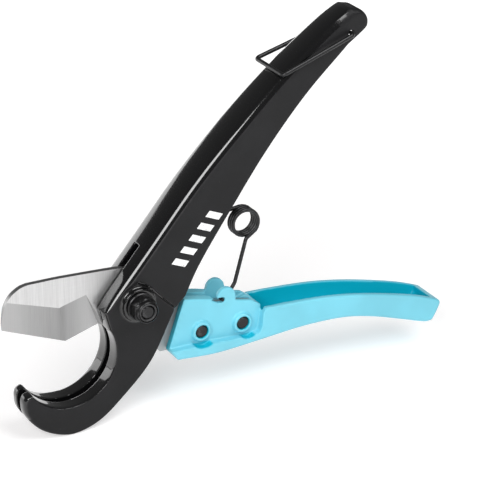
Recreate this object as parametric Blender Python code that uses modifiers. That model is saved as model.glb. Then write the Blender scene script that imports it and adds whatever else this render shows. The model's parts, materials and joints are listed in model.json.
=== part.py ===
"""A one-hand pipe cutter: hook jaw and handle in one casting, blade on a hinged lever, spring and wire latch.

Lengths are metres, +Z is up. The tool stands open in the XZ plane and its pivot axis runs along Y. The origin
is the middle of the pivot bolt's outer face, and an empty carries the tool's middle plane.
"""

import math

import bmesh
import bpy
from mathutils import Matrix, Vector

MM = 0.001
CLEAR = 0.3 * MM  # between touching pieces
WELD = 1e-6  # points nearer than this are one point

# frame casting: widths are half widths, measured from the middle plane
JAW_HALF = 9.0 * MM
JAW_TIP_HALF = 6.9 * MM
HANDLE_HALF = 9.6 * MM
TIP_HALF = 7.2 * MM
CHANNEL_HALF = 7.1 * MM
CHANNEL_TIP_HALF = 5.0 * MM
WEB = 3.2 * MM
WEB_CROWN = 1.3 * MM
PIPE_RADIUS = 21.7 * MM
PIPE_CENTRE = (-32.35 * MM, -20.5 * MM)
FRAME_EDGE = 0.9 * MM
CHANNEL_RADIUS = 23.2 * MM  # about the pivot, where the hollow of the handle starts
SLOT_RADIUS = 30.6 * MM  # about the pipe, the floor of the groove in the jaw
TAPER_START = 50 * MM  # along X, where the handle starts to narrow
JAW_TAPER_START = -38 * MM
PIVOT_BOSS_RADIUS = 7.6 * MM
PIVOT_BOSS_HEIGHT = 2.1 * MM

# blade
BLADE_HALF = 1.25 * MM
SLOT_HALF = 1.8 * MM

# pivot hardware
SHOULDER_RADIUS = 4.0 * MM
THREAD_RADIUS = 2.95 * MM
BOLT_HOLE = 4.3 * MM
WASHER_RADIUS = 6.4 * MM
WASHER_THICK = 1.4 * MM
NUT_ACROSS_FLATS = 10.4 * MM
HEAD_ACROSS_FLATS = 13.0 * MM
HEAD_HEIGHT = 4.0 * MM
NUT_HEIGHT = 4.2 * MM
COLLAR_HEIGHT = 2.2 * MM
COLLAR_RADIUS = 5.1 * MM
NYLON_SEAT = 4.5 * MM

# lever casting
LEVER_HALF = 10.4 * MM
LEVER_NOSE_HALF = 9.8 * MM
FLANGE_HALF = 6.6 * MM
TANG_SLOT_HALF = 1.6 * MM
LEVER_WALL = 2.6 * MM
LEVER_FLOOR = 3.0 * MM
LEVER_HOLLOW_FRONT = 62.0 * MM
LEVER_EDGE = 0.8 * MM
BLADE_SCREWS = ((31.5 * MM, -21.2 * MM), (52.1 * MM, -21.7 * MM))
SCREW_RADIUS = 2.85 * MM
SCREW_BOSS_RADIUS = 4.6 * MM
SCREW_BOSS_HEIGHT = 2.0 * MM
SCREW_HEAD_RADIUS = 4.4 * MM
SCREW_HEAD_HEIGHT = 2.4 * MM
SCREW_CHAMFER = 0.8 * MM
EAR_INNER = 4.2 * MM
EAR_OUTER = 6.5 * MM
EAR_RADIUS = 4.6 * MM
EAR_CENTRE = (44.8 * MM, -8.0 * MM)

# torsion spring
WIRE = 0.9 * MM  # wire radius
COIL_RADIUS = 6.1 * MM
COIL_TURNS = 3
COIL_PITCH = 1.95 * MM
COIL_CENTRE = (56.6 * MM, 23.8 * MM)
SPRING_FOOT = (42.8 * MM, -8.9 * MM)
UPPER_LEG = 42.6 * MM
UPPER_LEG_ANGLE = 187.0
LOWER_LEAVES = -70.0  # degrees, where the lower leg meets the coil
LEG_PLANE = -COIL_PITCH * COIL_TURNS / 2
LEG_START = (56.6 * MM, 15.9 * MM)
LEG_BEND = (50.9 * MM, -4.0 * MM)

# wire latch
BAIL_WIRE = 1.0 * MM
BAIL_HALF = 12.2 * MM
BAIL_LENGTH = 38.2 * MM
BAIL_PIVOT = (106.0 * MM, 105.4 * MM)
BAIL_ANGLE = 197.6  # direction of the closed side, in degrees from +X

BOSS_FACE = JAW_HALF + PIVOT_BOSS_HEIGHT
WASHER_FACE = BOSS_FACE + CLEAR + WASHER_THICK
NUT_SEAT = WASHER_FACE + CLEAR
HEAD_FACE = NUT_SEAT + HEAD_HEIGHT


def polar(radius, degrees, centre=(0.0, 0.0)):
    angle = math.radians(degrees)
    return (centre[0] + radius * math.cos(angle), centre[1] + radius * math.sin(angle))


def arc(radius, start, end, steps, centre=(0.0, 0.0)):
    """Points along an arc, both ends included, angles in degrees from +X towards +Z."""
    return [polar(radius, start + (end - start) * i / steps, centre) for i in range(steps + 1)]


def smooth(points, steps=3):
    """An open curve through the points, with steps segments between each two."""
    ends = [points[0], *points, points[-1]]
    found = []
    for a, b, c, d in zip(ends, ends[1:], ends[2:], ends[3:]):
        for i in range(steps):
            t = i / steps
            weights = (-t + 2 * t**2 - t**3, 2 - 5 * t**2 + 3 * t**3, t + 4 * t**2 - 3 * t**3, t**3 - t**2)
            found.append(tuple(0.5 * sum(w * v for w, v in zip(weights, four)) for four in zip(a, b, c, d)))
    return [*found, points[-1]]


def mm(*pairs):
    return [(x * MM, z * MM) for x, z in pairs]


# side outlines, in the tool's own plane with the pivot at (0, 0)
FRONT_LOW = mm((-15.6, -1.2), (5.6, 23.4), (27.2, 48.6), (49.2, 71.0))
HANDLE_FRONT = [*FRONT_LOW, *mm((71.3, 90.9), (94.8, 108.7), (106.6, 115.6))]
HANDLE_TIP = mm((111.4, 114.9), (114.6, 112.0), (115.4, 108.8), (113.9, 105.6))
HANDLE_REAR = mm((105.0, 99.8), (83.4, 80.6), (62.6, 57.2), (43.6, 31.4), (30.2, 11.6), (23.4, -1.6))
STEP_EDGE = mm((18.1, -6.6))
JAW_BACK = mm((15.6, -12.0), (6.0, -29.6), (-8.0, -43.8), (-20.0, -52.8), (-33.0, -55.9))
JAW_TIP = mm((-45.0, -52.2), (-52.6, -44.0), (-54.0, -37.6), (-53.0, -34.2), (-51.0, -33.2))


def frame_outline():
    """The casting seen from the side, from the mouth up the front, round the tip and the jaw, and back."""
    front = smooth(HANDLE_FRONT)
    tip = smooth([HANDLE_FRONT[-1], *HANDLE_TIP, HANDLE_REAR[0]], 2)[1:-1]
    rear = smooth(HANDLE_REAR)
    back = smooth([*STEP_EDGE, *JAW_BACK, *JAW_TIP])
    bowl = arc(PIPE_RADIUS, 216, 388, 26, PIPE_CENTRE)
    return front, [*tip, *rear, *back, *bowl]


def outward(points):
    """Unit normals of a closed outline that runs clockwise, pointing out of it."""
    normals = []
    for before, after in zip([points[-1], *points[:-1]], [*points[1:], points[0]]):
        along = Vector((after[0] - before[0], after[1] - before[1])).normalized()
        normals.append(Vector((-along.y, along.x)))
    return normals


# the blade's outline, clockwise from the tip's cutting corner
BLADE_NOSE = mm((-60.1, -2.6), (-60.2, 1.3), (-58.9, 7.9), (-56.0, 12.6), (-51.6, 15.6), (-47.3, 16.6))
BLADE_SPINE = mm((-34.1, 16.4), (-16.6, 15.6), (-6.0, 15.0))
TANG_TOP = mm((4.0, 13.5), (14.0, 5.0), (24.0, -6.2), (28.3, -7.6), (60.0, -15.0))
TANG_BOTTOM = mm((60.0, -26.0), (40.0, -28.6), (19.0, -29.8), (14.0, -29.8), (4.0, -17.6), (-9.0, -12.6))
BLADE_EDGE = mm((-15.2, -9.6), (-30.9, -14.4))
GRIND_TOP = mm((-70.0, 14.9), (-33.7, 2.5), (-21.0, 5.9), (-15.5, 7.6))  # where each ground flat starts
GRIND_EDGE = mm((-70.0, 1.4), (-30.9, -14.4), (-15.2, -9.6), (-10.5, -11.5))  # and where it meets the edge
EDGE_HALF = 0.12 * MM

# the lever's outline, clockwise from its top front corner
LEVER_TOP = mm((23.6, -4.4), (36.0, -7.0), (47.0, -10.0), (58.0, -12.6))
LEVER_RIM = mm((62.8, -16.0), (77.0, -16.6), (97.0, -18.2), (117.4, -21.8), (141.3, -28.0), (155.0, -33.0))
LEVER_NOSE = mm((156.2, -35.2), (152.6, -42.2), (150.6, -43.2))
BELLY_REAR = mm((146.6, -42.7), (133.3, -38.2), (117.7, -33.3), (102.3, -30.4))
LEVER_BELLY = [*BELLY_REAR, *mm((82.2, -29.9), (59.5, -31.5), (38.0, -32.8))]
LEVER_FRONT = mm((18.8, -31.6), (15.8, -27.6))
TANG_MOUTH_DEPTH = 1.2 * MM  # how far the flanges' fronts slant back towards the tang
RECESS_LEDGE = mm((8.0, -26.8), (31.0, -26.8), (45.0, -27.6), (56.0, -28.0))
RECESS_STEP = mm((61.0, -24.0), (61.4, -18.5), (62.7, -16.2), (62.7, 5.0), (8.0, 5.0))
SIDE_RECESS = [*RECESS_LEDGE, *RECESS_STEP]
TANG_SLOT = mm((8.0, 5.0), (61.0, 5.0), (61.0, -26.8), (40.0, -29.4), (8.0, -30.4))
FOOT_WELL = mm(
    (38.6, -11.0), (43.6, -13.4), (46.4, -15.2), (52.0, -15.2), (64.0, -12.0), (64.0, 5.0), (38.6, 5.0)
)


def start_scene():
    """An empty scene with one collection for the tool and one for its cutters."""
    for obj in list(bpy.data.objects):
        bpy.data.objects.remove(obj, do_unlink=True)
    made = []
    for name in ("pipe_cutter", "cutters"):
        collection = bpy.data.collections.new(name)
        bpy.context.scene.collection.children.link(collection)
        made.append(collection)
    made[1].hide_render = True
    return made


TOOL, CUTTERS = start_scene()


def material(name, colour, roughness, metallic):
    made = bpy.data.materials.new(name)
    made.use_nodes = True
    shader = made.node_tree.nodes["Principled BSDF"]
    shader.inputs["Base Color"].default_value = (*colour, 1.0)
    shader.inputs["Roughness"].default_value = roughness
    shader.inputs["Metallic"].default_value = metallic
    return made


BLACK_ENAMEL = material("black_enamel", (0.02, 0.02, 0.022), 0.35, 0.0)
BLADE_STEEL = material("blade_steel", (0.6, 0.6, 0.6), 0.28, 1.0)
BLACK_STEEL = material("blackened_steel", (0.03, 0.03, 0.032), 0.4, 0.6)
BLUE_ENAMEL = material("blue_enamel", (0.16, 0.6, 0.75), 0.4, 0.0)
NYLON = material("nylon", (0.05, 0.05, 0.055), 0.5, 0.0)


def empty(name, place, parent=None):
    made = bpy.data.objects.new(name, None)
    made.location = place
    made.parent = parent
    TOOL.objects.link(made)
    return made


# the middle plane carries the tool, and each moving group hangs on an empty at its joint
MID_PLANE = empty("mid_plane", (0.0, -HEAD_FACE, 0.0))
LEVER_PIVOT = empty("lever_pivot", (0.0, 0.0, 0.0), MID_PLANE)
FOOT_PIVOT = empty("spring_foot_pivot", (SPRING_FOOT[0], 0.0, SPRING_FOOT[1]), MID_PLANE)
COIL_AXIS = empty("spring_coil_axis", (COIL_CENTRE[0], 0.0, COIL_CENTRE[1]), MID_PLANE)
LATCH_PIVOT = empty("latch_pivot", (BAIL_PIVOT[0], 0.0, BAIL_PIVOT[1]), MID_PLANE)


def mesh_object(name, mesh, finish=None, collection=None):
    """A mesh as an object of the tool, or as a hidden cutter."""
    made = bpy.data.objects.new(name, mesh)
    (collection or TOOL).objects.link(made)
    if collection is CUTTERS:
        made.hide_render = True
        made.display_type = "WIRE"
    if finish:
        mesh.materials.clear()
        mesh.materials.append(finish)
    return made


def place(obj, pivot):
    """Hangs an object, modelled about the tool's pivot, on the empty of its joint."""
    obj.parent = pivot
    if pivot is not MID_PLANE:
        obj.location -= pivot.location
    return obj


def shade(obj, degrees=30.0):
    obj.data.shade_smooth()
    obj.data.set_sharp_from_angle(angle=math.radians(degrees))
    return obj


def baked(obj):
    """The object's evaluated mesh, with its modifiers taken in and its caps welded."""
    bpy.context.view_layer.update()
    graph = bpy.context.evaluated_depsgraph_get()
    mesh = bpy.data.meshes.new_from_object(obj.evaluated_get(graph))
    mesh.transform(obj.matrix_world)
    bm = bmesh.new()
    bm.from_mesh(mesh)
    bmesh.ops.remove_doubles(bm, verts=bm.verts, dist=WELD)
    bmesh.ops.recalc_face_normals(bm, faces=bm.faces)
    bm.to_mesh(mesh)
    bm.free()
    bpy.data.objects.remove(obj, do_unlink=True)
    return mesh


def slab(points, near, far):
    """A flat outline in the XZ plane as a plate from y = near to y = far."""
    curve = bpy.data.curves.new("outline", "CURVE")
    curve.dimensions = "2D"
    curve.fill_mode = "BOTH"
    curve.extrude = (far - near) / 2
    spline = curve.splines.new("POLY")
    spline.points.add(len(points) - 1)
    for point, (x, z) in zip(spline.points, points):
        point.co = (x, z, 0.0, 1.0)
    spline.use_cyclic_u = True
    obj = bpy.data.objects.new("outline", curve)
    obj.rotation_euler = (math.pi / 2, 0.0, 0.0)
    obj.location = (0.0, (near + far) / 2, 0.0)
    TOOL.objects.link(obj)
    return baked(obj)


def rod(radius, near, far, centre=(0.0, 0.0), sides=32):
    """A round bar along Y from y = near to y = far."""
    bm = bmesh.new()
    turn = Matrix.Rotation(math.pi / 2, 4, "X")
    shift = Matrix.Translation((centre[0], (near + far) / 2, centre[1]))
    size = {"radius1": radius, "radius2": radius, "depth": far - near}
    bmesh.ops.create_cone(bm, cap_ends=True, segments=sides, matrix=shift @ turn, **size)
    mesh = bpy.data.meshes.new("rod")
    bm.to_mesh(mesh)
    bm.free()
    return mesh


def lofted(sections):
    """A closed body through like outlines, each a list of points in space."""
    bm = bmesh.new()
    rows = [[bm.verts.new(point) for point in section] for section in sections]
    for row, following in zip(rows, rows[1:]):
        for i in range(len(row)):
            j = (i + 1) % len(row)
            bm.faces.new((row[i], row[j], following[j], following[i]))
    bm.faces.new(rows[0])
    bm.faces.new(rows[-1])
    bmesh.ops.recalc_face_normals(bm, faces=bm.faces)
    mesh = bpy.data.meshes.new("loft")
    bm.to_mesh(mesh)
    bm.free()
    return mesh


def cut(obj, name, mesh, operation="DIFFERENCE"):
    """A Boolean modifier on obj with a hidden object of the given mesh."""
    other = mesh_object(f"{obj.name}_{name}", mesh, collection=CUTTERS)
    modifier = obj.modifiers.new(name, "BOOLEAN")
    modifier.operation = operation
    modifier.object = other
    other.parent = obj


def wire(name, points, radius, finish):
    """A round wire through the points, as a curve with closed ends."""
    curve = bpy.data.curves.new(name, "CURVE")
    curve.dimensions = "3D"
    curve.bevel_depth = radius
    curve.bevel_resolution = 2
    curve.use_fill_caps = True
    spline = curve.splines.new("POLY")
    spline.points.add(len(points) - 1)
    for point, place_of in zip(spline.points, points):
        point.co = (*place_of, 1.0)
    obj = bpy.data.objects.new(name, curve)
    TOOL.objects.link(obj)
    mesh = baked(obj)
    return shade(mesh_object(name, mesh, finish), 60.0)


def turned(name, profile, finish, centre=(0.0, 0.0), ring=False, steps=32):
    """A body turned about a line along Y: the profile is (radius, way to the near side), near end first."""
    bm = bmesh.new()
    points = [bm.verts.new((radius, 0.0, along)) for radius, along in profile]
    for first, second in zip(points, points[1:]):
        bm.edges.new((first, second))
    if ring:
        bm.edges.new((points[-1], points[0]))
    mesh = bpy.data.meshes.new(name)
    bm.to_mesh(mesh)
    bm.free()
    obj = mesh_object(name, mesh, finish)
    screw = obj.modifiers.new("turn", "SCREW")
    screw.steps = steps
    screw.render_steps = steps
    screw.use_merge_vertices = True
    screw.merge_threshold = WELD
    obj.rotation_euler = (math.pi / 2, 0.0, 0.0)
    obj.location = (centre[0], 0.0, centre[1])
    return obj


def narrowing(x, full, least):
    """A half width that shrinks evenly from the start of the taper to the handle's tip."""
    share = max(0.0, x - TAPER_START) / (HANDLE_TIP[2][0] - TAPER_START)
    return full + (least - full) * share


def half_width(x, z):
    """The casting's half width: slimmer on the jaw than on the handle, and less again towards either end."""
    if z > STEP_EDGE[0][1]:
        return narrowing(x, HANDLE_HALF, TIP_HALF)
    share = max(0.0, JAW_TAPER_START - x) / (JAW_TAPER_START - JAW_TIP[2][0])
    return JAW_HALF + (JAW_TIP_HALF - JAW_HALF) * share


def frame_blank():
    """The whole casting before its hollows: crowned along the front, edges eased, narrower at the tip."""
    front, rest = frame_outline()
    outline = [*front, *rest]
    normals = outward(outline)
    crown = [WEB_CROWN] * len(front) + [0.0] * len(rest)
    crown[0] = 0.0
    sections = []
    for share in (-1.0, -0.91, -0.5, 0.0, 0.5, 0.91, 1.0):
        ease = FRAME_EDGE if abs(share) == 1.0 else 0.0
        section = []
        for (x, z), normal, rise in zip(outline, normals, crown):
            out = rise * (1.0 - share * share) - ease
            section.append((x + normal.x * out, share * half_width(x, z), z + normal.y * out))
        sections.append(section)
    return lofted(sections)


def channel_outline():
    """The hollow of the handle: behind the web, above an arc about the pivot, open at the rear."""
    ends = mm((103.4, 111.0), (109.6, 106.0), (118.0, 92.0), (60.0, 0.0), (30.0, -14.0))
    normals = outward(HANDLE_FRONT)
    inner = [(x - n.x * WEB, z - n.y * WEB) for (x, z), n in zip(HANDLE_FRONT[2:-1], normals[2:-1])]
    return [*arc(CHANNEL_RADIUS, -25, 70, 12), *smooth(inner, 2), *ends]


def channel_half(x):
    return narrowing(x, CHANNEL_HALF, CHANNEL_TIP_HALF)


def channel():
    sections = []
    for side in (-1, 1):
        sections.append([(x, side * channel_half(x), z) for x, z in channel_outline()])
    return lofted(sections)


def slot_outline():
    """The blade's way through the middle of the casting."""
    upper = mm((-75.0, 30.0), (-2.7, 27.6), (8.6, 21.9), (24.0, 16.0), (40.0, -5.0), (18.0, -34.0))
    floor = mm((6.5, -29.8), (-8.5, -36.0))
    return [*upper, *floor, *arc(SLOT_RADIUS, 300, 227, 10, PIPE_CENTRE), *mm((-62.0, -46.0), (-75.0, -40.0))]


def frame_casting():
    obj = mesh_object("frame_casting", frame_blank(), BLACK_ENAMEL)
    cut(obj, "channel", channel())
    cut(obj, "blade_slot", slab(slot_outline(), -SLOT_HALF, SLOT_HALF))
    for side, y in (("near", -1), ("far", 1)):
        ends = sorted((y * (JAW_HALF - 2 * MM), y * (JAW_HALF + PIVOT_BOSS_HEIGHT)))
        cut(obj, f"boss_{side}", rod(PIVOT_BOSS_RADIUS, *ends), "UNION")
    cut(obj, "pivot_hole", rod(BOLT_HOLE, -20 * MM, 20 * MM))
    cut(obj, "latch_hole", rod(BAIL_WIRE + CLEAR, -15 * MM, 15 * MM, BAIL_PIVOT, 16))
    return place(shade(obj), MID_PLANE)


def blade():
    outline = [*BLADE_NOSE, *BLADE_SPINE, *TANG_TOP, *TANG_BOTTOM, *BLADE_EDGE]
    obj = mesh_object("blade", slab(outline, -BLADE_HALF, BLADE_HALF), BLADE_STEEL)
    for side in (-1, 1):
        cut(obj, f"bevel_{side}", bevel_cutter(side))
    cut(obj, "bore", rod(BOLT_HOLE, -5 * MM, 5 * MM))
    for name, centre in zip(("front", "rear"), BLADE_SCREWS):
        cut(obj, f"{name}_hole", rod(SCREW_RADIUS + CLEAR, -5 * MM, 5 * MM, centre, 24))
    return place(shade(obj), LEVER_PIVOT)


def bevel_cutter(side):
    """What the grinding takes off one side: two flats that meet at a ridge, and a run-out to the tang."""
    beyond = 4 * MM
    start, end = -0.2, 1.5  # shares of the way from the top of a flat to its edge
    rows = []
    for i, ((tx, tz), (ex, ez)) in enumerate(zip(GRIND_TOP, GRIND_EDGE)):
        row = []
        for share in (start, end):
            depth = -CLEAR if i == 3 else (BLADE_HALF - EDGE_HALF) * share
            row.append((tx + (ex - tx) * share, side * (BLADE_HALF - depth), tz + (ez - tz) * share))
        row += [(row[1][0], side * beyond, row[1][2]), (row[0][0], side * beyond, row[0][2])]
        rows.append(row)
    return lofted(rows)


def lever_half_width(x):
    share = max(0.0, x - TAPER_START) / (LEVER_NOSE[0][0] - TAPER_START)
    return LEVER_HALF + (LEVER_NOSE_HALF - LEVER_HALF) * share


def lever_outline():
    top = smooth(LEVER_TOP, 1)
    rim = smooth(LEVER_RIM)
    belly = smooth([LEVER_NOSE[-1], *LEVER_BELLY, LEVER_FRONT[0]])[1:-1]
    return [*top, *rim, *LEVER_NOSE, *belly, *LEVER_FRONT]


def hollow_outline():
    """The hollow of the lever's handle, open upwards, with its floor along the belly."""
    belly = smooth(LEVER_BELLY[1:-1])
    normals = outward(belly)
    floor = [(x - n.x * LEVER_FLOOR, z - n.y * LEVER_FLOOR) for (x, z), n in zip(belly[1:-1], normals[1:-1])]
    floor = [point for point in floor if point[0] > LEVER_HOLLOW_FRONT + 3 * MM]
    end = mm((148.5, -38.0), (151.5, -34.6), (151.5, 0.0))
    return [*reversed(end), *floor, (LEVER_HOLLOW_FRONT, floor[-1][1]), (LEVER_HOLLOW_FRONT, 0.0)]


def ear_outline():
    return [*arc(EAR_RADIUS, 172, 0, 12, EAR_CENTRE), *mm((49.4, -16.0), (40.3, -16.0))]


def hook_mouth():
    """The hole in the near ear that the spring's foot lies in, open towards the front."""
    gap = WIRE + CLEAR
    x, z = SPRING_FOOT
    front = [(x - 6 * MM, z + gap), (x - 6 * MM, z + 1.0 * MM), (x - 2 * MM, z - gap)]
    return [*arc(gap, -90, 90, 8, SPRING_FOOT), *front]


def tang_mouth():
    """The V in the lever's front that opens the slot towards the jaw, along the line of the front."""
    (low_x, low_z), (high_x, high_z) = LEVER_FRONT[-1], LEVER_TOP[0]
    wide = FLANGE_HALF - CLEAR
    slot = TANG_SLOT_HALF - CLEAR / 2
    sections = []
    for share in (-0.4, 1.3):
        x = low_x + (high_x - low_x) * share
        z = low_z + (high_z - low_z) * share
        half = [(x - TANG_MOUTH_DEPTH, wide), (x, wide), (x + TANG_MOUTH_DEPTH, slot)]
        sections.append([(a, b, z) for a, b in half] + [(a, -b, z) for a, b in reversed(half)])
    return lofted(sections)


def lever_casting():
    sections = []
    outline = lever_outline()
    normals = outward(outline)
    for share, ease in ((-1.0, LEVER_EDGE), (-0.92, 0.0), (0.92, 0.0), (1.0, LEVER_EDGE)):
        section = []
        for (x, z), normal in zip(outline, normals):
            section.append((x - normal.x * ease, share * lever_half_width(x), z - normal.y * ease))
        sections.append(section)
    obj = mesh_object("lever_casting", lofted(sections), BLUE_ENAMEL)
    wide = 20 * MM
    cut(obj, "hollow", slab(hollow_outline(), LEVER_WALL - LEVER_HALF, LEVER_HALF - LEVER_WALL))
    cut(obj, "recess_near", slab(SIDE_RECESS, -wide, -FLANGE_HALF))
    cut(obj, "recess_far", slab(SIDE_RECESS, FLANGE_HALF, wide))
    for side in (-1, 1):
        for name, centre in zip(("front", "rear"), BLADE_SCREWS):
            ends = sorted((side * (FLANGE_HALF - 2 * MM), side * (FLANGE_HALF + SCREW_BOSS_HEIGHT)))
            cut(obj, f"boss_{name}_{side}", rod(SCREW_BOSS_RADIUS, *ends, centre, 28), "UNION")
        ends = sorted((side * (EAR_INNER - CLEAR), side * EAR_OUTER))
        cut(obj, f"ear_{side}", slab(ear_outline(), *ends), "UNION")
    cut(obj, "tang_slot", slab(TANG_SLOT, -TANG_SLOT_HALF, TANG_SLOT_HALF))
    cut(obj, "tang_mouth", tang_mouth())
    cut(obj, "foot_well", slab(FOOT_WELL, -EAR_INNER, EAR_INNER))
    cut(obj, "hook_mouth", slab(hook_mouth(), -wide, 0.0))
    for name, centre in zip(("front", "rear"), BLADE_SCREWS):
        cut(obj, f"{name}_hole", rod(SCREW_RADIUS + CLEAR, -wide, wide, centre, 24))
    return place(shade(obj), LEVER_PIVOT)


def hexagon(across_flats):
    radius = across_flats / math.sqrt(3)
    return [polar(radius, 30 + 60 * i) for i in range(6)]


def pivot_bolt():
    """Head on the far side, a plain shoulder through frame and blade, and a thread that ends in the nut."""
    obj = mesh_object("pivot_bolt", slab(hexagon(HEAD_ACROSS_FLATS), NUT_SEAT, HEAD_FACE), BLACK_STEEL)
    cut(obj, "shoulder", rod(SHOULDER_RADIUS, -BOSS_FACE, NUT_SEAT + 1 * MM), "UNION")
    end = 0.5 * MM - NUT_SEAT - NUT_HEIGHT - COLLAR_HEIGHT
    cut(obj, "thread", rod(THREAD_RADIUS, end, 1 * MM - BOSS_FACE), "UNION")
    return place(shade(obj), MID_PLANE)


def pivot_washers():
    washers = (("pivot_washer_near", 1, THREAD_RADIUS), ("pivot_washer_far", -1, SHOULDER_RADIUS))
    for name, side, inner in washers:
        near, far = sorted((side * (BOSS_FACE + CLEAR), side * WASHER_FACE), reverse=True)
        hole = inner + CLEAR
        profile = [(WASHER_RADIUS, near), (WASHER_RADIUS, far), (hole, far), (hole, near)]
        place(shade(turned(name, profile, BLACK_STEEL, ring=True)), MID_PLANE)


def pivot_locknut():
    seat = -NUT_SEAT
    top = seat - NUT_HEIGHT
    end = top - COLLAR_HEIGHT
    obj = mesh_object("pivot_locknut", slab(hexagon(NUT_ACROSS_FLATS), top, seat), BLACK_STEEL)
    cut(obj, "collar", rod(COLLAR_RADIUS, end, top + 0.5 * MM), "UNION")
    cut(obj, "bore", rod(THREAD_RADIUS + CLEAR, end - 1 * MM, seat + 1 * MM))
    cut(obj, "nylon_seat", rod(NYLON_SEAT, end - 1 * MM, end + COLLAR_HEIGHT * 0.9))
    return place(shade(obj), MID_PLANE)


def locknut_nylon_ring():
    end = NUT_SEAT + NUT_HEIGHT + COLLAR_HEIGHT
    near = end - 0.2 * MM
    far = end - COLLAR_HEIGHT * 0.9 + CLEAR
    outer = NYLON_SEAT - CLEAR
    inner = THREAD_RADIUS + CLEAR
    profile = [(outer, near), (outer, far), (inner, far), (inner, near)]
    return place(shade(turned("locknut_nylon_ring", profile, NYLON, ring=True)), MID_PLANE)


def blade_screws():
    """Two screws through the flanges and the tang, heads on the far side, ends level with the near bosses."""
    end = FLANGE_HALF + SCREW_BOSS_HEIGHT - 0.4 * MM
    under_head = -(FLANGE_HALF + SCREW_BOSS_HEIGHT + CLEAR)
    top = under_head - SCREW_HEAD_HEIGHT
    for name, centre in zip(("blade_screw_front", "blade_screw_rear"), BLADE_SCREWS):
        head = [(SCREW_HEAD_RADIUS, under_head), (SCREW_HEAD_RADIUS, top + SCREW_CHAMFER)]
        crown = [(SCREW_HEAD_RADIUS - SCREW_CHAMFER, top), (0.0, top)]
        profile = [(0.0, end), (SCREW_RADIUS, end), (SCREW_RADIUS, under_head), *head, *crown]
        place(shade(turned(name, profile, BLACK_STEEL, centre, steps=24)), LEVER_PIVOT)


def coil_points():
    """The spring's turns, from the near end where the lower leg leaves to the far end at the upper leg."""
    start = LOWER_LEAVES
    end = UPPER_LEG_ANGLE - 90.0 + 360.0 * COIL_TURNS
    steps = 14 * COIL_TURNS
    points = []
    for i in range(steps + 1):
        share = i / steps
        x, z = polar(COIL_RADIUS, start + (end - start) * share, COIL_CENTRE)
        points.append((x, COIL_PITCH * COIL_TURNS * (share - 0.5), z))
    return points


def spring_upper():
    points = coil_points()
    last = points[-1]
    tip = polar(UPPER_LEG, UPPER_LEG_ANGLE, (last[0], last[2]))
    points.append((tip[0], last[1], tip[1]))
    return place(wire("spring_coil_and_upper_leg", points, WIRE, BLACK_STEEL), COIL_AXIS)


def spring_lower():
    """The leg from just under the coil to the foot, which turns across into the lever's near hook."""
    x, z = SPRING_FOOT
    near = LEG_PLANE
    plane = [LEG_START, LEG_BEND, (x + 5.5 * MM, z + 1.1 * MM), (x + 1.4 * MM, z)]
    points = [(px, near, pz) for px, pz in plane]
    points += [(x + 0.3 * MM, near - 0.6 * MM, z), (x, near - 1.6 * MM, z), (x, -EAR_OUTER - 0.2 * MM, z)]
    return place(wire("spring_lower_leg", points, WIRE, BLACK_STEEL), FOOT_PIVOT)


def latch_bail():
    """A wire loop whose ends turn in through the handle's two holes."""
    along = Vector(polar(1.0, BAIL_ANGLE))
    side = [
        (0.0, 5.0 * MM),
        (0.0, 8.9 * MM),
        (0.5 * MM, 9.6 * MM),
        (1.8 * MM, 9.9 * MM),
        (BAIL_LENGTH - 1.8 * MM, BAIL_HALF),
        (BAIL_LENGTH - 0.5 * MM, BAIL_HALF - 0.4 * MM),
        (BAIL_LENGTH, BAIL_HALF - 1.6 * MM),
    ]
    points = [(BAIL_PIVOT[0] + along.x * s, -y, BAIL_PIVOT[1] + along.y * s) for s, y in side]
    points += [(x, -y, z) for x, y, z in reversed(points)]
    return place(wire("latch_bail", points, BAIL_WIRE, BLACK_STEEL), LATCH_PIVOT)


def main():
    frame_casting()
    blade()
    lever_casting()
    pivot_bolt()
    pivot_washers()
    pivot_locknut()
    locknut_nylon_ring()
    blade_screws()
    spring_upper()
    spring_lower()
    latch_bail()


main()
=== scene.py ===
"""A one-hand pipe cutter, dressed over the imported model: castings, blade, wires and fasteners."""

import json
import math
from functools import partial

import bmesh
import bpy
import numpy as np
from bpy.props import FloatProperty, FloatVectorProperty, IntProperty, PointerProperty
from mathutils import Matrix, Vector
from mathutils.bvhtree import BVHTree


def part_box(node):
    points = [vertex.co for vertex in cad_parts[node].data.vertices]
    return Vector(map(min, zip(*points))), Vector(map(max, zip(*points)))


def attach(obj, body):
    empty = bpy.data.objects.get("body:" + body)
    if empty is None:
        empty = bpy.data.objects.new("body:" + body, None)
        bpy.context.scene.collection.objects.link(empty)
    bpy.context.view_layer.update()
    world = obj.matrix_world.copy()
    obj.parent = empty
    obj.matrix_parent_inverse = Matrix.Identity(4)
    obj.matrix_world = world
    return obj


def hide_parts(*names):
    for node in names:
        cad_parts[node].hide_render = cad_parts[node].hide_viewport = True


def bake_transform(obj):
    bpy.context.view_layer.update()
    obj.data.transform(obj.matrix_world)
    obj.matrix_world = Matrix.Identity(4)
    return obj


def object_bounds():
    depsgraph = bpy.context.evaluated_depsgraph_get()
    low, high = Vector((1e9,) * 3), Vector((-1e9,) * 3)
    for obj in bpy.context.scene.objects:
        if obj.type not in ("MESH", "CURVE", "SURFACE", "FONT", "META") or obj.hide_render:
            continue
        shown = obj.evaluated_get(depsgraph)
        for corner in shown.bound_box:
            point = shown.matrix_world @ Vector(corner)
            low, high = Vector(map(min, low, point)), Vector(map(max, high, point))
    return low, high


bl_info = {
    "name": "Pipe Cutter",
    "version": (1, 0, 0),
    "blender": (4, 5, 0),
    "location": "View3D > Sidebar > Pipe Cutter",
    "description": "Builds the detailed pieces of a one-hand pipe cutter and the stage it stands on",
    "category": "Mesh",
}

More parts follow.
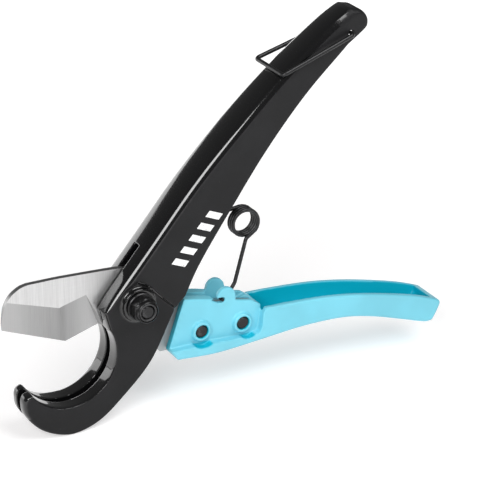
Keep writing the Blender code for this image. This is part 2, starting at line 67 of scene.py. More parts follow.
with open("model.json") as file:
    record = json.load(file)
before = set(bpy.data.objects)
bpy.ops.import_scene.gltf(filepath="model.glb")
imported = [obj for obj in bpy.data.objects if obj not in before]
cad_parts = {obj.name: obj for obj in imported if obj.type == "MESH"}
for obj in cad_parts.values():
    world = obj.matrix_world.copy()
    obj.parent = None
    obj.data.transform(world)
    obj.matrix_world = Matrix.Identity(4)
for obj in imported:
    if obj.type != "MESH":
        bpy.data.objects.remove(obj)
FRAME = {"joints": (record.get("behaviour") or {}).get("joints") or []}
CAD_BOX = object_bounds()
JOINTS = {joint["name"]: joint["pos_m"] for joint in FRAME["joints"]}
MID_PLANE = JOINTS["lever_hinge"][1]
MM = 0.001
SIDES = (-1, 1)
CLEAR = 20.0  # beyond either side of the tool


def joint_mm(name):
    """A joint's place in the tool's own plane, in millimetres from the pivot."""
    x, _, z = JOINTS[name]
    return (x / MM, z / MM)


def node_mm(name):
    """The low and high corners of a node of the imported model, in millimetres from the pivot."""
    return [Vector((x / MM, (y - MID_PLANE) / MM, z / MM)) for x, y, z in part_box(name)]


# ---------------------------------------------------------------- curves in the tool's plane, in millimetres


def polar(radius, degrees, centre=(0.0, 0.0)):
    """The point at this radius and angle about the centre."""
    angle = math.radians(degrees)
    return (centre[0] + radius * math.cos(angle), centre[1] + radius * math.sin(angle))


def arc(radius, start, end, steps, centre=(0.0, 0.0)):
    return [polar(radius, start + (end - start) * i / steps, centre) for i in range(steps + 1)]


def smooth(points, steps=8):
    """An open curve through the points."""
    ends = [points[0], *points, points[-1]]
    found = []
    for a, b, c, d in zip(ends, ends[1:], ends[2:], ends[3:]):
        for i in range(steps):
            t = i / steps
            weights = (-t + 2 * t**2 - t**3, 2 - 5 * t**2 + 3 * t**3, t + 4 * t**2 - 3 * t**3, t**3 - t**2)
            found.append(tuple(0.5 * sum(w * v for w, v in zip(weights, four)) for four in zip(a, b, c, d)))
    return [*found, points[-1]]


def outward(points):
    """Unit normals of a clockwise outline, pointing out of it."""
    normals = []
    for before, after in zip([points[-1], *points[:-1]], [*points[1:], points[0]]):
        along = (Vector(after) - Vector(before)).normalized()
        normals.append(Vector((-along.y, along.x)))
    return normals


def blurred(values, reach):
    """A closed row of numbers, each the mean of its neighbours on either side."""
    count = len(values)
    window = range(-reach, reach + 1)
    return [sum(values[(i + k) % count] for k in window) / len(window) for i in range(count)]


MOST_OF_ARM = 0.48  # the share of a wire's straight arm that one bend may take up


def bent(points, radius, steps=8):
    """A path in space with each inner corner turned on a radius, as wire is bent."""
    points = [Vector(point) for point in points]
    found = [points[0]]
    for before, corner, after in zip(points, points[1:], points[2:]):
        arm_in = (before - corner).normalized()
        arm_out = (after - corner).normalized()
        half = arm_in.angle(arm_out) / 2
        shorter = min((before - corner).length, (after - corner).length)
        reach = min(radius / math.tan(half), MOST_OF_ARM * shorter)
        start = corner + arm_in * reach
        end = corner + arm_out * reach
        for i in range(steps + 1):
            t = i / steps
            found.append(start * (1 - t) ** 2 + corner * 2 * t * (1 - t) + end * t**2)
    return [*found, points[-1]]


# ---------------------------------------------------------------- meshes


def lofted(sections, finish):
    """A closed body through like outlines, each a list of points in space."""
    bm = bmesh.new()
    rows = [[bm.verts.new(point) for point in section] for section in sections]
    for row, following in zip(rows, rows[1:]):
        for i in range(len(row)):
            j = (i + 1) % len(row)
            bm.faces.new((row[i], row[j], following[j], following[i]))
    bm.faces.new(rows[0])
    bm.faces.new(rows[-1])
    return as_mesh(bm, finish)


def as_mesh(bm, finish):
    """The finished mesh, its faces turned outwards."""
    bmesh.ops.recalc_face_normals(bm, faces=bm.faces)
    mesh = bpy.data.meshes.new("piece")
    bm.to_mesh(mesh)
    bm.free()
    mesh.materials.append(finish)
    return mesh


def plate(points, near, far, finish):
    """A flat outline as a plate from y = near to y = far."""
    return lofted([[(x, near, z) for x, z in points], [(x, far, z) for x, z in points]], finish)


def turned(profile, finish, centre=(0.0, 0.0), sides=64, ring=False):
    """A body turned about a line along Y, from a profile of (radius, y).

    Unless the profile is a ring, its ends lie on the line.
    """
    bm = bmesh.new()
    rows = []
    for radius, y in profile:
        if radius == 0.0:
            rows.append([bm.verts.new((centre[0], y, centre[1]))])
        else:
            rows.append([bm.verts.new((px, y, pz)) for px, pz in arc(radius, 0, 360, sides, centre)[:-1]])
    pairs = list(zip(rows, rows[1:])) + ([(rows[-1], rows[0])] if ring else [])
    for first, second in pairs:
        for i in range(sides):
            j = (i + 1) % sides
            corners = [first[i % len(first)], first[j % len(first)]]
            corners += [second[j % len(second)], second[i % len(second)]]
            bm.faces.new(list(dict.fromkeys(corners)))
    return as_mesh(bm, finish)


def bar(radius, near, far, centre, finish, sides=48):
    """A round bar along Y."""
    return turned([(0.0, near), (radius, near), (radius, far), (0.0, far)], finish, centre, sides)


def new_object(name, mesh):
    made = bpy.data.objects.new(name, mesh)
    bpy.context.scene.collection.objects.link(made)
    return made


def carve(obj, *tools, operation="DIFFERENCE"):
    """Cuts the tools from obj, joins them to it or keeps what they share, with their finishes."""
    helpers = [new_object("helper", tool) for tool in tools]
    for helper in helpers:
        modifier = obj.modifiers.new("carve", "BOOLEAN")
        modifier.operation = operation
        modifier.solver = "EXACT"
        modifier.material_mode = "TRANSFER"
        modifier.object = helper
    freeze(obj)
    for helper in helpers:
        bpy.data.objects.remove(helper, do_unlink=True)


def freeze(obj):
    """Takes the object's modifiers into its mesh."""
    bpy.context.view_layer.update()
    graph = bpy.context.evaluated_depsgraph_get()
    mesh = bpy.data.meshes.new_from_object(obj.evaluated_get(graph))
    obj.modifiers.clear()
    obj.data = mesh


def ease(obj, width):
    """Rounds the edges that turn by more than a shallow angle."""
    modifier = obj.modifiers.new("ease", "BEVEL")
    modifier.width = width
    modifier.segments = 2
    modifier.limit_method = "ANGLE"
    modifier.angle_limit = math.radians(32.0)
    modifier.use_clamp_overlap = False
    modifier.harden_normals = True
    freeze(obj)


def marker(name):
    """A plain material that marks a surface while its body is carved."""
    return bpy.data.materials.get(name) or bpy.data.materials.new(name)


MELT_ROUNDS = 4
MARK_BLUR_ROUNDS = 2


def cast(obj, finish, second, cell, kept):
    """Melts a carved body's edges to the small radii of a casting, and marks where its second finish lies:
    gloss on the frame, painted shade in the lever's hollows, holes and pockets.

    The melt works in cells of this size, in millimetres, and keeps this share of its faces.
    """
    carved = obj.data
    sharp = BVHTree.FromPolygons([v.co for v in carved.vertices], [p.vertices for p in carved.polygons])
    remesh = obj.modifiers.new("melt", "REMESH")
    remesh.mode = "VOXEL"
    remesh.voxel_size = cell
    even = obj.modifiers.new("even", "SMOOTH")
    even.factor = 0.5
    even.iterations = MELT_ROUNDS
    lighten = obj.modifiers.new("lighten", "DECIMATE")
    lighten.ratio = kept
    freeze(obj)
    points = [vertex.co.copy() for vertex in obj.data.vertices]
    marks_found = [carved.polygons[sharp.find_nearest(point)[2]].material_index for point in points]
    names = [used.name for used in carved.materials]
    marked = np.array([1.0 if names[coat] == second else 0.0 for coat in marks_found])
    edges = np.empty(len(obj.data.edges) * 2, np.int32)
    obj.data.edges.foreach_get("vertices", edges)
    start, end = edges.reshape(-1, 2).T
    for _ in range(MARK_BLUR_ROUNDS):
        total = marked.copy()
        np.add.at(total, start, marked[end])
        np.add.at(total, end, marked[start])
        marked = total / (1 + np.bincount(edges, minlength=len(marked)))
    # This attribute carries the frame's gloss and the lever's painted shade.
    obj.data.attributes.new("gloss_and_painted_shade", "FLOAT", "POINT").data.foreach_set("value", marked)
    obj.data.materials.clear()
    obj.data.materials.append(finish)
    for used in set(carved.materials):
        bpy.data.materials.remove(used)


def settle(name, mesh, body, replaces, degrees=30.0, flat=False):
    """Puts a finished mesh, made in millimetres about the pivot, in place as a riding piece."""
    mesh.transform(Matrix.Translation((0.0, MID_PLANE, 0.0)) @ Matrix.Scale(MM, 4))
    mesh.name = name
    obj = new_object(name, mesh)
    if not flat:
        mesh.shade_smooth()
        mesh.set_sharp_from_angle(angle=math.radians(degrees))
    if body:
        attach(obj, body)
    if replaces:
        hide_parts(*replaces)
    return obj


def taken(obj):
    """The object's mesh, with the object itself cleared away."""
    mesh = obj.data
    bpy.data.objects.remove(obj, do_unlink=True)
    return mesh


WIRE_END = 0.7  # the radius of a wire's cut end, as a share of its own


def wire_mesh(points, radius, finish):
    """A round wire with slightly narrowed ends."""
    curve = bpy.data.curves.new("wire", "CURVE")
    curve.dimensions = "3D"
    curve.bevel_depth = radius
    curve.bevel_resolution = 4
    curve.use_fill_caps = True
    spline = curve.splines.new("POLY")
    spline.points.add(len(points) - 1)
    for point, place in zip(spline.points, points):
        point.co = (*place, 1.0)
    spline.points[0].radius = WIRE_END
    spline.points[-1].radius = WIRE_END
    obj = new_object("wire", curve)
    graph = bpy.context.evaluated_depsgraph_get()
    mesh = bpy.data.meshes.new_from_object(obj.evaluated_get(graph))
    bpy.data.objects.remove(obj, do_unlink=True)
    bm = bmesh.new()
    bm.from_mesh(mesh)
    bmesh.ops.remove_doubles(bm, verts=bm.verts, dist=0.001)
    bpy.data.meshes.remove(mesh)
    return as_mesh(bm, finish)


# ---------------------------------------------------------------- shader maths


class Value:
    """A node's output. Used in an expression, it adds the Math nodes that work the expression out."""

    def __init__(self, finish, socket):
        self.finish = finish
        self.socket = socket

    def __add__(self, other):
        return self.finish.math("ADD", self, other)

    def __sub__(self, other):
        return self.finish.math("SUBTRACT", self, other)

    def __rsub__(self, other):
        return self.finish.math("SUBTRACT", other, self)

    def __mul__(self, other):
        return self.finish.math("MULTIPLY", self, other)

    def __truediv__(self, other):
        return self.finish.math("DIVIDE", self, other)

    __radd__ = __add__
    __rmul__ = __mul__

    def clamped(self):
        return self.finish.node("ShaderNodeClamp", {}, {"Value": self})

    def ramp(self, low, high, out_low=0.0, out_high=1.0):
        """This value's place between low and high, eased, as a number between out_low and out_high."""
        inputs = {0: self, 1: low, 2: high, 3: out_low, 4: out_high}
        return self.finish.node("ShaderNodeMapRange", {"interpolation_type": "SMOOTHSTEP"}, inputs)


class Finish:
    """One material: its nodes, and the shader they feed."""

    def __init__(self, name):
        self.material = bpy.data.materials.new(name)
        self.material.use_nodes = True
        self.tree = self.material.node_tree
        self.shader = self.tree.nodes["Principled BSDF"]
        self.place = self.node("ShaderNodeTexCoord", {}, {}, "Object")

    def node(self, kind, settings, inputs, output=0):
        """Adds a node with its settings, and feeds its sockets. Gives one of its outputs."""
        made = self.tree.nodes.new(kind)
        for name, value in settings.items():
            setattr(made, name, value)
        for key, value in inputs.items():
            self.feed(made.inputs[key], value)
        return Value(self, made.outputs[output])

    def feed(self, socket, value):
        if isinstance(value, Value):
            self.tree.links.new(value.socket, socket)
        else:
            socket.default_value = value

    def math(self, operation, first, second):
        return self.node("ShaderNodeMath", {"operation": operation}, {0: first, 1: second})

    def mix(self, share, first, second):
        """Two colours mixed by a share."""
        inputs = {0: share, 6: (*first, 1.0) if isinstance(first, tuple) else first}
        inputs[7] = (*second, 1.0) if isinstance(second, tuple) else second
        return self.node("ShaderNodeMix", {"data_type": "RGBA"}, inputs, 2)

    def stretched(self, scale, shift=(0.0, 0.0, 0.0)):
        """The place on the piece, in its own scale along X, Y and Z."""
        return self.node("ShaderNodeMapping", {}, {"Vector": self.place, "Scale": scale, "Location": shift})

    def noise(self, scale, detail=2.0, roughness=0.5, at=None):
        inputs = {"Vector": at or self.place, "Scale": scale, "Detail": detail, "Roughness": roughness}
        return self.node("ShaderNodeTexNoise", {}, inputs)

    def spots(self, scale, at=None):
        """The distance to the nearest of many scattered points."""
        return self.node("ShaderNodeTexVoronoi", {}, {"Vector": at or self.place, "Scale": scale})

    def axis(self, name):
        return self.node("ShaderNodeSeparateXYZ", {}, {"Vector": self.place}, name)

    def gloss_and_painted_shade(self):
        """How far the body's marked second finish covers this place, from 0 to 1: gloss on the frame, painted
        shade on the lever.
        """
        return self.node("ShaderNodeAttribute", {"attribute_name": "gloss_and_painted_shade"}, {}, "Fac")

    def bump(self, height, distance, strength=1.0):
        return self.node("ShaderNodeBump", {}, {"Height": height, "Distance": distance, "Strength": strength})

    def shade(self, **inputs):
        """Feeds the shader: a colour or number as it is, or a value that varies over the surface."""
        for name, value in inputs.items():
            socket = self.shader.inputs[name.replace("_", " ")]
            if isinstance(value, tuple) and len(value) == 3 and len(socket.default_value) == 4:
                value = (*value, 1.0)
            self.feed(socket, value)
        return self.material


FINISHES = {}


def finish_named(name):
    """The finish of this name, made the first time it is asked for."""
    if name not in FINISHES:
        FINISHES[name] = FINISH_MAKERS[name](bpy.context.scene.cutter_colours)
    return FINISHES[name]

def tinted(colour, factor=1.0):
    """A colour made darker or lighter, as three plain numbers."""
    return tuple(min(1.0, v * factor) for v in colour)


def casting_enamel(colours):
    """Black enamel on the frame: a stippled satin coat, glossy where it ran together on edges."""
    f = Finish("black enamel")
    gloss = f.gloss_and_painted_shade()
    cloud = f.noise(55.0, 3.0)
    stipple = f.noise(2600.0, 2.0, 0.6)
    fine = f.noise(900.0, 3.0)
    nibs = f.spots(260.0).ramp(0.035, 0.02)
    satin = f.mix(cloud.ramp(0.3, 0.75), tinted(colours.enamel, 0.7), tinted(colours.enamel))
    satin = f.mix(nibs * 0.3, satin, (0.14, 0.14, 0.14))
    grain = stipple * 0.7 + fine * 0.5 + nibs * 0.6
    return f.shade(
        Base_Color=f.mix(gloss, satin, tinted(colours.enamel, 0.3)),
        Roughness=(cloud * 0.1 + stipple * 0.1 + 0.4) * (1.0 - gloss) + (fine * 0.08 + 0.1) * gloss,
        Normal=f.bump(grain * (1.0 - gloss * 0.85), 0.00006, 0.55),
        Specular_IOR_Level=0.22,
        Coat_Weight=gloss,
        Coat_Roughness=0.05,
    )


def brushed_blade(colours):
    """The blade's flat: brushed from top to bottom, with fainter marks across and a matt tang. Towards its
    pivot end it is darker, a painted shade where it runs into the frame's slot.
    """
    f = Finish("brushed blade steel")
    lines = f.noise(1.0, 4.0, 0.75, f.stretched((2600.0, 400.0, 55.0)))
    broad = f.noise(1.0, 2.0, 0.5, f.stretched((420.0, 100.0, 14.0)))
    marks = f.noise(1.0, 3.0, 0.6, f.stretched((90.0, 300.0, 1700.0)))
    share = (lines * 0.6 + broad * 0.3 + marks * 0.1).ramp(0.32, 0.68)
    # Painted shade: the flat darkens towards its pivot end, where it goes into the frame's slot.
    slot_shade = f.axis("X").ramp(-0.03, -0.008)
    tang = f.axis("X").ramp(0.009, 0.012)
    base = f.mix(share, tinted(colours.steel, 0.78), tinted(colours.steel, 0.98))
    base = f.mix(slot_shade * 0.4, base, tinted(colours.steel, 0.6))
    return f.shade(
        Base_Color=f.mix(tang, base, (0.5, 0.5, 0.5)),
        Metallic=1.0 - tang * 0.8,
        Roughness=lines * 0.16 + broad * 0.08 + 0.26 + tang * 0.15,
        Normal=f.bump(lines * 0.8 + broad * 0.3, 0.00002, 0.35),
    )


def ground_steel(name, start, end, first, last, colours):
    """Ground steel with close grinding lines. Its tone runs evenly from x = start to x = end, in metres; on
    the ground flats this run is painted shade and reflection.
    """
    f = Finish(name)
    steel = colours.steel
    lines = f.noise(1.0, 3.0, 0.7, f.stretched((3800.0, 300.0, 60.0)))
    bands = f.noise(1.0, 2.0, 0.5, f.stretched((160.0, 60.0, 9.0)))
    share = ((f.axis("X") - start) / (end - start)).clamped()
    # On the ground flats this tone run is painted shade and reflection.
    shade_gradient = f.mix(share, tinted(steel, first), tinted(steel, last))
    marks = (lines * 0.55 + bands * 0.45).ramp(0.3, 0.7) * 0.16
    return f.shade(
        Base_Color=f.mix(marks, shade_gradient, tinted(steel, 0.95)),
        Metallic=1.0,
        Roughness=lines * 0.12 + bands * 0.08 + 0.22,
        Normal=f.bump(lines, 0.000015, 0.3),
    )


def blackened_steel(colours):
    """Black oxide on wire and fasteners, with faint drawing marks and grey where it is rubbed."""
    f = Finish("blackened steel")
    cloud = f.noise(160.0, 3.0)
    fine = f.noise(1800.0, 3.0, 0.65)
    rubbed = (cloud * 0.6 + fine * 0.4).ramp(0.54, 0.72)
    base = f.mix(rubbed, tinted(colours.oxide), tinted(colours.oxide, 3.2))
    return f.shade(
        Base_Color=base,
        Metallic=0.75,
        Roughness=fine * 0.14 + cloud * 0.08 + 0.2,
        Normal=f.bump(fine, 0.00003, 0.35),
    )


def lever_enamel(colours):
    """Light blue enamel on the lever, a satin coat, with painted shade: a deeper blue-green in its hollows,
    holes and pockets, where shade falls.
    """
    f = Finish("light blue enamel")
    hollow_shade = f.gloss_and_painted_shade()
    cloud = f.noise(45.0, 2.0)
    peel = f.noise(700.0, 2.0)
    fine = f.noise(2400.0, 2.0, 0.6)
    # The colour of the open faces, outside the painted shade.
    thin = f.mix(cloud.ramp(0.3, 0.7), tinted(colours.lever, 0.94), tinted(colours.lever, 1.05))
    # Painted shade: the marked hollows, holes and pockets take the deeper hollow colour.
    return f.shade(
        Base_Color=f.mix(hollow_shade, thin, tinted(colours.hollow)),
        Roughness=cloud * 0.06 + fine * 0.08 + 0.32,
        Normal=f.bump(peel * 0.6 + fine * 0.4, 0.00005, 0.4),
        Specular_IOR_Level=0.45,
        Coat_Weight=0.15,
        Coat_Roughness=0.2,
    )


def nylon(_colours):
    """The lock nut's dark nylon ring."""
    f = Finish("dark nylon")
    cloud = f.noise(900.0, 3.0)
    base = f.mix(cloud, (0.012, 0.012, 0.013), (0.035, 0.035, 0.037))
    return f.shade(Base_Color=base, Roughness=cloud * 0.15 + 0.4, Normal=f.bump(cloud, 0.00003, 0.4))


def print_white(colours):
    """White pad print, a little thin and broken at its edges."""
    f = Finish("white print")
    grain = f.noise(2200.0, 3.0, 0.7)
    cloud = f.noise(500.0, 2.0)
    base = f.mix((grain * 0.6 + cloud * 0.4).ramp(0.36, 0.46), (0.45, 0.45, 0.45), tinted(colours.print))
    return f.shade(Base_Color=base, Roughness=grain * 0.15 + 0.45, Normal=f.bump(grain, 0.00003, 0.4))


FINISH_MAKERS = {
    "enamel": casting_enamel,
    "brushed": brushed_blade,
    # The nose, heel and run-out flats are copies of one ground steel whose tones run along X as painted shade
    # and reflection.
    "nose": partial(ground_steel, "ground steel, nose flat", -0.06, -0.031, 0.6, 0.36),
    "heel": partial(ground_steel, "ground steel, heel flat", -0.033, -0.016, 0.34, 0.66),
    "run-out": partial(ground_steel, "ground steel, run-out", -0.02, -0.006, 0.3, 0.5),
    "edge": partial(ground_steel, "sheared steel edge", -0.06, -0.005, 0.42, 0.5),
    "oxide": blackened_steel,
    "lever enamel": lever_enamel,
    "nylon": nylon,
    "print": print_white,
}


# ---------------------------------------------------------------- frame casting

HANDLE_FRONT = (
    (-15.6, -1.2), (5.6, 23.4), (27.2, 48.6), (49.2, 71.0), (71.3, 90.9), (94.8, 108.7), (106.6, 115.6)
)
HANDLE_TIP = ((111.4, 114.9), (114.6, 112.0), (115.4, 108.8), (113.9, 105.6))
HANDLE_REAR = ((105.0, 99.8), (83.4, 80.6), (62.6, 57.2), (43.6, 31.4), (30.2, 11.6), (23.4, -1.6))
JAW_BACK = (
    (18.1, -6.6), (15.6, -12.0), (6.0, -29.6), (-8.0, -43.8), (-20.0, -52.8), (-33.0, -55.9), (-45.0, -52.2)
)
JAW_TIP = ((-52.6, -44.0), (-54.0, -37.6), (-53.0, -34.2), (-51.0, -33.2))
STEP_LINE = ((0.2, 10.4), (4.2, 8.0), (8.6, 3.7), (12.9, -1.0), (18.1, -6.2), (30.0, -20.0))
PIPE_CENTRE = (-32.35, -20.5)
BOWL_ARC = (216, 388)  # from the jaw's tip round to the handle, in degrees
CHANNEL_ARC = (-25, 70)
CHANNEL_REAR = ((103.4, 111.0), (109.6, 106.0), (118.0, 92.0), (60.0, 0.0), (30.0, -14.0))
SLOT_TOP = ((-75.0, 30.0), (-2.7, 27.6), (3.0, 24.6), (8.6, 21.9))
SLOT_REAR = ((24.0, 16.0), (40.0, -5.0), (18.0, -34.0), (6.5, -29.8), (-8.5, -36.0))
SLOT_ARC = (300, 227)
SLOT_FRONT = ((-62.0, -46.0), (-75.0, -40.0))
RECESS_OUTSIDE = ((40.0, -70.0), (-70.0, -70.0))
RAMP_FOOT = ((-70.0, 2.0), (-18.0, 2.0), (-6.0, 6.0))
RAMP_HEAD = ((-70.0, 14.0), (-20.0, 14.0), (-7.6, 13.4))
TAPER_START = 50.0
JAW_TAPER_START = -33.4
EDGE_DEPTH = 3.0  # how far the blend of the edges reaches onto the front
CROWN_STATIONS = (0.52, 0.36, 0.18)  # the rows between the blends, as shares of the half width


def narrowing(x, full, least):
    """A half width that shrinks evenly from the start of the taper to the handle's tip."""
    return full + (least - full) * max(0.0, x - TAPER_START) / (HANDLE_TIP[2][0] - TAPER_START)


def frame_half(x, sizes):
    """Half the casting's width at this place along X."""
    if x > TAPER_START:
        return narrowing(x, sizes.handle_half, sizes.tip_half)
    share = max(0.0, JAW_TAPER_START - x) / (JAW_TAPER_START - JAW_TIP[1][0])
    return sizes.handle_half + (sizes.jaw_tip_half - sizes.handle_half) * share


def frame_outline(sizes):
    """The side outline, clockwise from the mouth, and how far each point is blended and crowned."""
    front = smooth(HANDLE_FRONT)
    tip = smooth([HANDLE_FRONT[-1], *HANDLE_TIP, HANDLE_REAR[0]], 5)[1:-1]
    rear = smooth(HANDLE_REAR)
    back = smooth([*JAW_BACK, *JAW_TIP])
    bowl = arc(sizes.pipe_radius, *BOWL_ARC, 70, PIPE_CENTRE)
    behind = [*tip, *rear, *back, *bowl]
    blend = [1.0] * len(front) + [0.6] * len(tip) + [0.35] * len(rear) + [0.4] * len(back)
    blend += [0.2] * len(bowl)
    crown = [0.5, 0.8] + [1.0] * (len(front) - 2) + [0.0] * len(behind)
    return [*front, *behind], blurred(blend, 3), blurred(crown, 2)

def frame_stations(half):
    """(y, share of the edge blend, share of the crown) from the near side to the far side."""
    turn = [math.radians(15 * i) for i in range(7)]
    near = [(EDGE_DEPTH * (1 - math.cos(angle)) - half, 1 - math.sin(angle)) for angle in turn]
    near += [(-half * share, 0.0) for share in CROWN_STATIONS]
    both = [*near, (0.0, 0.0), *((-y, share) for y, share in reversed(near))]
    return [(y, share, 1.0 - (y / half) ** 2) for y, share in both]


def slice_at(bm, *places):
    """Puts a row of edges across the body at each place along X."""
    for x in places:
        geometry = [*bm.verts, *bm.edges, *bm.faces]
        bmesh.ops.bisect_plane(bm, geom=geometry, plane_co=(x, 0, 0), plane_no=(1, 0, 0), dist=1e-5)


def is_glossy(face, sizes):
    """Whether the enamel ran together here: on the web's front and in the bowl, not on the sides."""
    centre = face.calc_center_median()
    faces_front = face.normal.x * -0.75 + face.normal.z * 0.66 > 0.12
    on_web = faces_front and centre.z > centre.x * 1.02 + 8.0
    in_bowl = math.dist((centre.x, centre.z), PIPE_CENTRE) < sizes.pipe_radius + 0.4
    return abs(face.normal.y) < 0.985 and (on_web or in_bowl)


def frame_blank(sizes):
    """The casting before anything is cut from it, with its glossy faces marked."""
    outline, blend, crown = frame_outline(sizes)
    normals = outward(outline)
    columns = [frame_stations(frame_half(x, sizes)) for x, _ in outline]
    sections = []
    for level in range(len(columns[0])):
        section = []
        for (x, z), normal, wide, rise, column in zip(outline, normals, blend, crown, columns):
            y, share, bow = column[level]
            out = sizes.crown * rise * bow - sizes.edge_blend * wide * share
            section.append((x + normal.x * out, y, z + normal.y * out))
        sections.append(section)
    mesh = lofted(sections, marker("satin"))
    mesh.materials.append(marker("gloss"))
    bm = bmesh.new()
    bm.from_mesh(mesh)
    slice_at(bm, TAPER_START, JAW_TAPER_START)
    bmesh.ops.recalc_face_normals(bm, faces=bm.faces)
    for face in bm.faces:
        if is_glossy(face, sizes):
            face.material_index = 1
    bm.to_mesh(mesh)
    bm.free()
    return mesh


def channel(sizes):
    """The hollow of the handle: behind the web, above an arc about the pivot, open at the rear."""
    front = list(zip(HANDLE_FRONT, outward(HANDLE_FRONT)))[2:-1]
    inner = [(x - n.x * sizes.web, z - n.y * sizes.web) for (x, z), n in front]
    outline = [*arc(sizes.channel_radius, *CHANNEL_ARC, 24), *smooth(inner, 6), *CHANNEL_REAR]
    mesh = plate(outline, -1.0, 1.0, marker("satin"))
    bm = bmesh.new()
    bm.from_mesh(mesh)
    slice_at(bm, TAPER_START)
    for vertex in bm.verts:
        vertex.co.y *= narrowing(vertex.co.x, sizes.channel_half, sizes.channel_tip_half)
    bm.to_mesh(mesh)
    bm.free()
    return mesh


def blade_slot(sizes):
    """The slot that the blade swings in, down to the groove in the jaw's bowl."""
    groove = arc(sizes.slot_radius, *SLOT_ARC, 30, PIPE_CENTRE)
    outline = [*SLOT_TOP, *SLOT_REAR, *groove, *SLOT_FRONT]
    return plate(outline, -sizes.slot_half, sizes.slot_half, marker("gloss"))


def step_recess(side, sizes):
    """What is taken off one side below the step line. In front of the line it runs out on a long ramp."""
    step = smooth(STEP_LINE, 5)
    foot = side * (sizes.handle_half - sizes.step)
    head = side * sizes.handle_half
    sections = []
    for y, ramp in ((foot, RAMP_FOOT), (head, RAMP_HEAD), (side * CLEAR, RAMP_HEAD)):
        sections.append([(x, y, z) for x, z in (*step, *RECESS_OUTSIDE, *ramp)])
    return lofted(sections, marker("satin"))


def step_notch(side, sizes):
    """The dark notch at the foot of the step line, deepest at its front end."""
    line = smooth(STEP_LINE, 5)
    sections = []
    for i, (x, z) in enumerate(line):
        share = i / (len(line) - 1)
        wide = 0.75 - 0.4 * share
        deep = side * (sizes.handle_half - sizes.step - 0.9 + 0.5 * share)
        ax, az = x - wide * 0.35, z - wide
        bx, bz = x + wide * 0.65, z + wide * 0.5
        above = side * CLEAR
        sections.append([(ax, above, az), (bx, above, bz), (bx, deep, bz), (ax, deep, az)])
    return lofted(sections, marker("gloss"))


def boss(side, centre, radius, foot, height, fillet, turns, rim, coat):
    """A round boss that stands out of one side, with a fillet at its foot and an eased rim.

    The rim is a row of (in from the radius, down from the top).
    """
    wide = radius + fillet
    top = foot + height
    profile = [(0.0, foot - 2.0), (wide, foot - 2.0), (wide, foot - 0.02)]
    profile += [(wide - fillet * math.sin(a), foot + fillet - fillet * math.cos(a)) for a in turns]
    profile += [(radius - inward, top - down) for inward, down in rim]
    profile.append((0.0, top))
    return turned([(r, side * y) for r, y in profile], marker(coat), centre)


def pivot_boss(side, sizes):
    foot = sizes.handle_half - sizes.step
    turns = (0.3, 0.7, 1.1, 1.57)
    rim = ((0.0, 0.5), (0.15, 0.15), (0.5, 0.0))
    return boss(side, (0.0, 0.0), sizes.boss_radius, foot, sizes.boss_height, 1.1, turns, rim, "gloss")


def build_frame(sizes):
    obj = new_object("casting", frame_blank(sizes))
    carve(obj, step_recess(-1, sizes), step_recess(1, sizes))
    carve(obj, step_notch(-1, sizes), step_notch(1, sizes))
    carve(obj, channel(sizes))
    carve(obj, blade_slot(sizes))
    carve(obj, pivot_boss(-1, sizes), pivot_boss(1, sizes), operation="UNION")
    carve(obj, bar(sizes.bolt_hole, -CLEAR, CLEAR, (0.0, 0.0), marker("satin")))
    carve(obj, bar(sizes.latch_hole, -CLEAR, CLEAR, joint_mm("latch_swing"), marker("satin"), 24))
    cast(obj, finish_named("enamel"), "gloss", 0.33, 0.32)
    settle("frame_body", taken(obj), "frame", ["frame_casting"], 40.0)


BAR_COUNT = 5
BAR_START = Vector((16.2, 15.6))
BAR_PITCH = 6.3
BAR_CORNERS = ((0.0, 0.0), (3.2, 0.0), (5.4, 6.6), (2.2, 6.6))


def build_print(sizes):
    """Five plain slanted bars printed on the near side, and the same on the far side."""
    along = Vector((0.66, 0.75)).normalized()
    across = Vector((along.y, -along.x))
    for side, name in zip(SIDES, ("near", "far")):
        bm = bmesh.new()
        for i in range(BAR_COUNT):
            start = BAR_START + along * (i * BAR_PITCH)
            corners = [start + along * a + across * b for a, b in BAR_CORNERS]
            level = side * (sizes.handle_half + 0.02)
            lower = [bm.verts.new((c.x, level - side * 0.05, c.y)) for c in corners]
            upper = [bm.verts.new((c.x, level + side * 0.02, c.y)) for c in corners]
            bm.faces.new(lower)
            bm.faces.new(upper)
            for j in range(4):
                k = (j + 1) % 4
                bm.faces.new((lower[j], lower[k], upper[k], upper[j]))
        mesh = as_mesh(bm, finish_named("print"))
        settle(f"printed_bars_{name}", mesh, "frame", [], flat=True)


# ---------------------------------------------------------------- blade

BLADE_NOSE = ((-60.1, -2.6), (-60.2, 1.3), (-58.9, 7.9), (-56.0, 12.6), (-51.6, 15.6), (-47.3, 16.6))
BLADE_SPINE = ((-34.1, 16.4), (-16.6, 15.6), (-6.0, 15.0))
TANG_TOP = ((4.0, 13.5), (14.0, 5.0), (24.0, -6.2), (28.3, -7.6), (60.0, -15.0))
TANG_BOTTOM = ((60.0, -26.0), (40.0, -28.6), (19.0, -29.8), (14.0, -29.8), (4.0, -17.6), (-9.0, -12.6))
BLADE_EDGE = ((-15.2, -9.6), (-30.9, -14.4))
GRIND_TOP = ((-70.0, 14.9), (-33.7, 2.5), (-21.0, 5.9), (-15.5, 7.6))
GRIND_EDGE = ((-70.0, 1.4), (-30.9, -14.4), (-15.2, -9.6), (-10.5, -11.5))
BLADE_SCREWS = ((31.5, -21.2), (52.1, -21.7))
SCREW_GAP = 0.3
EDGE_LAND = 0.12  # half the thickness that the grinding leaves at the cutting edge

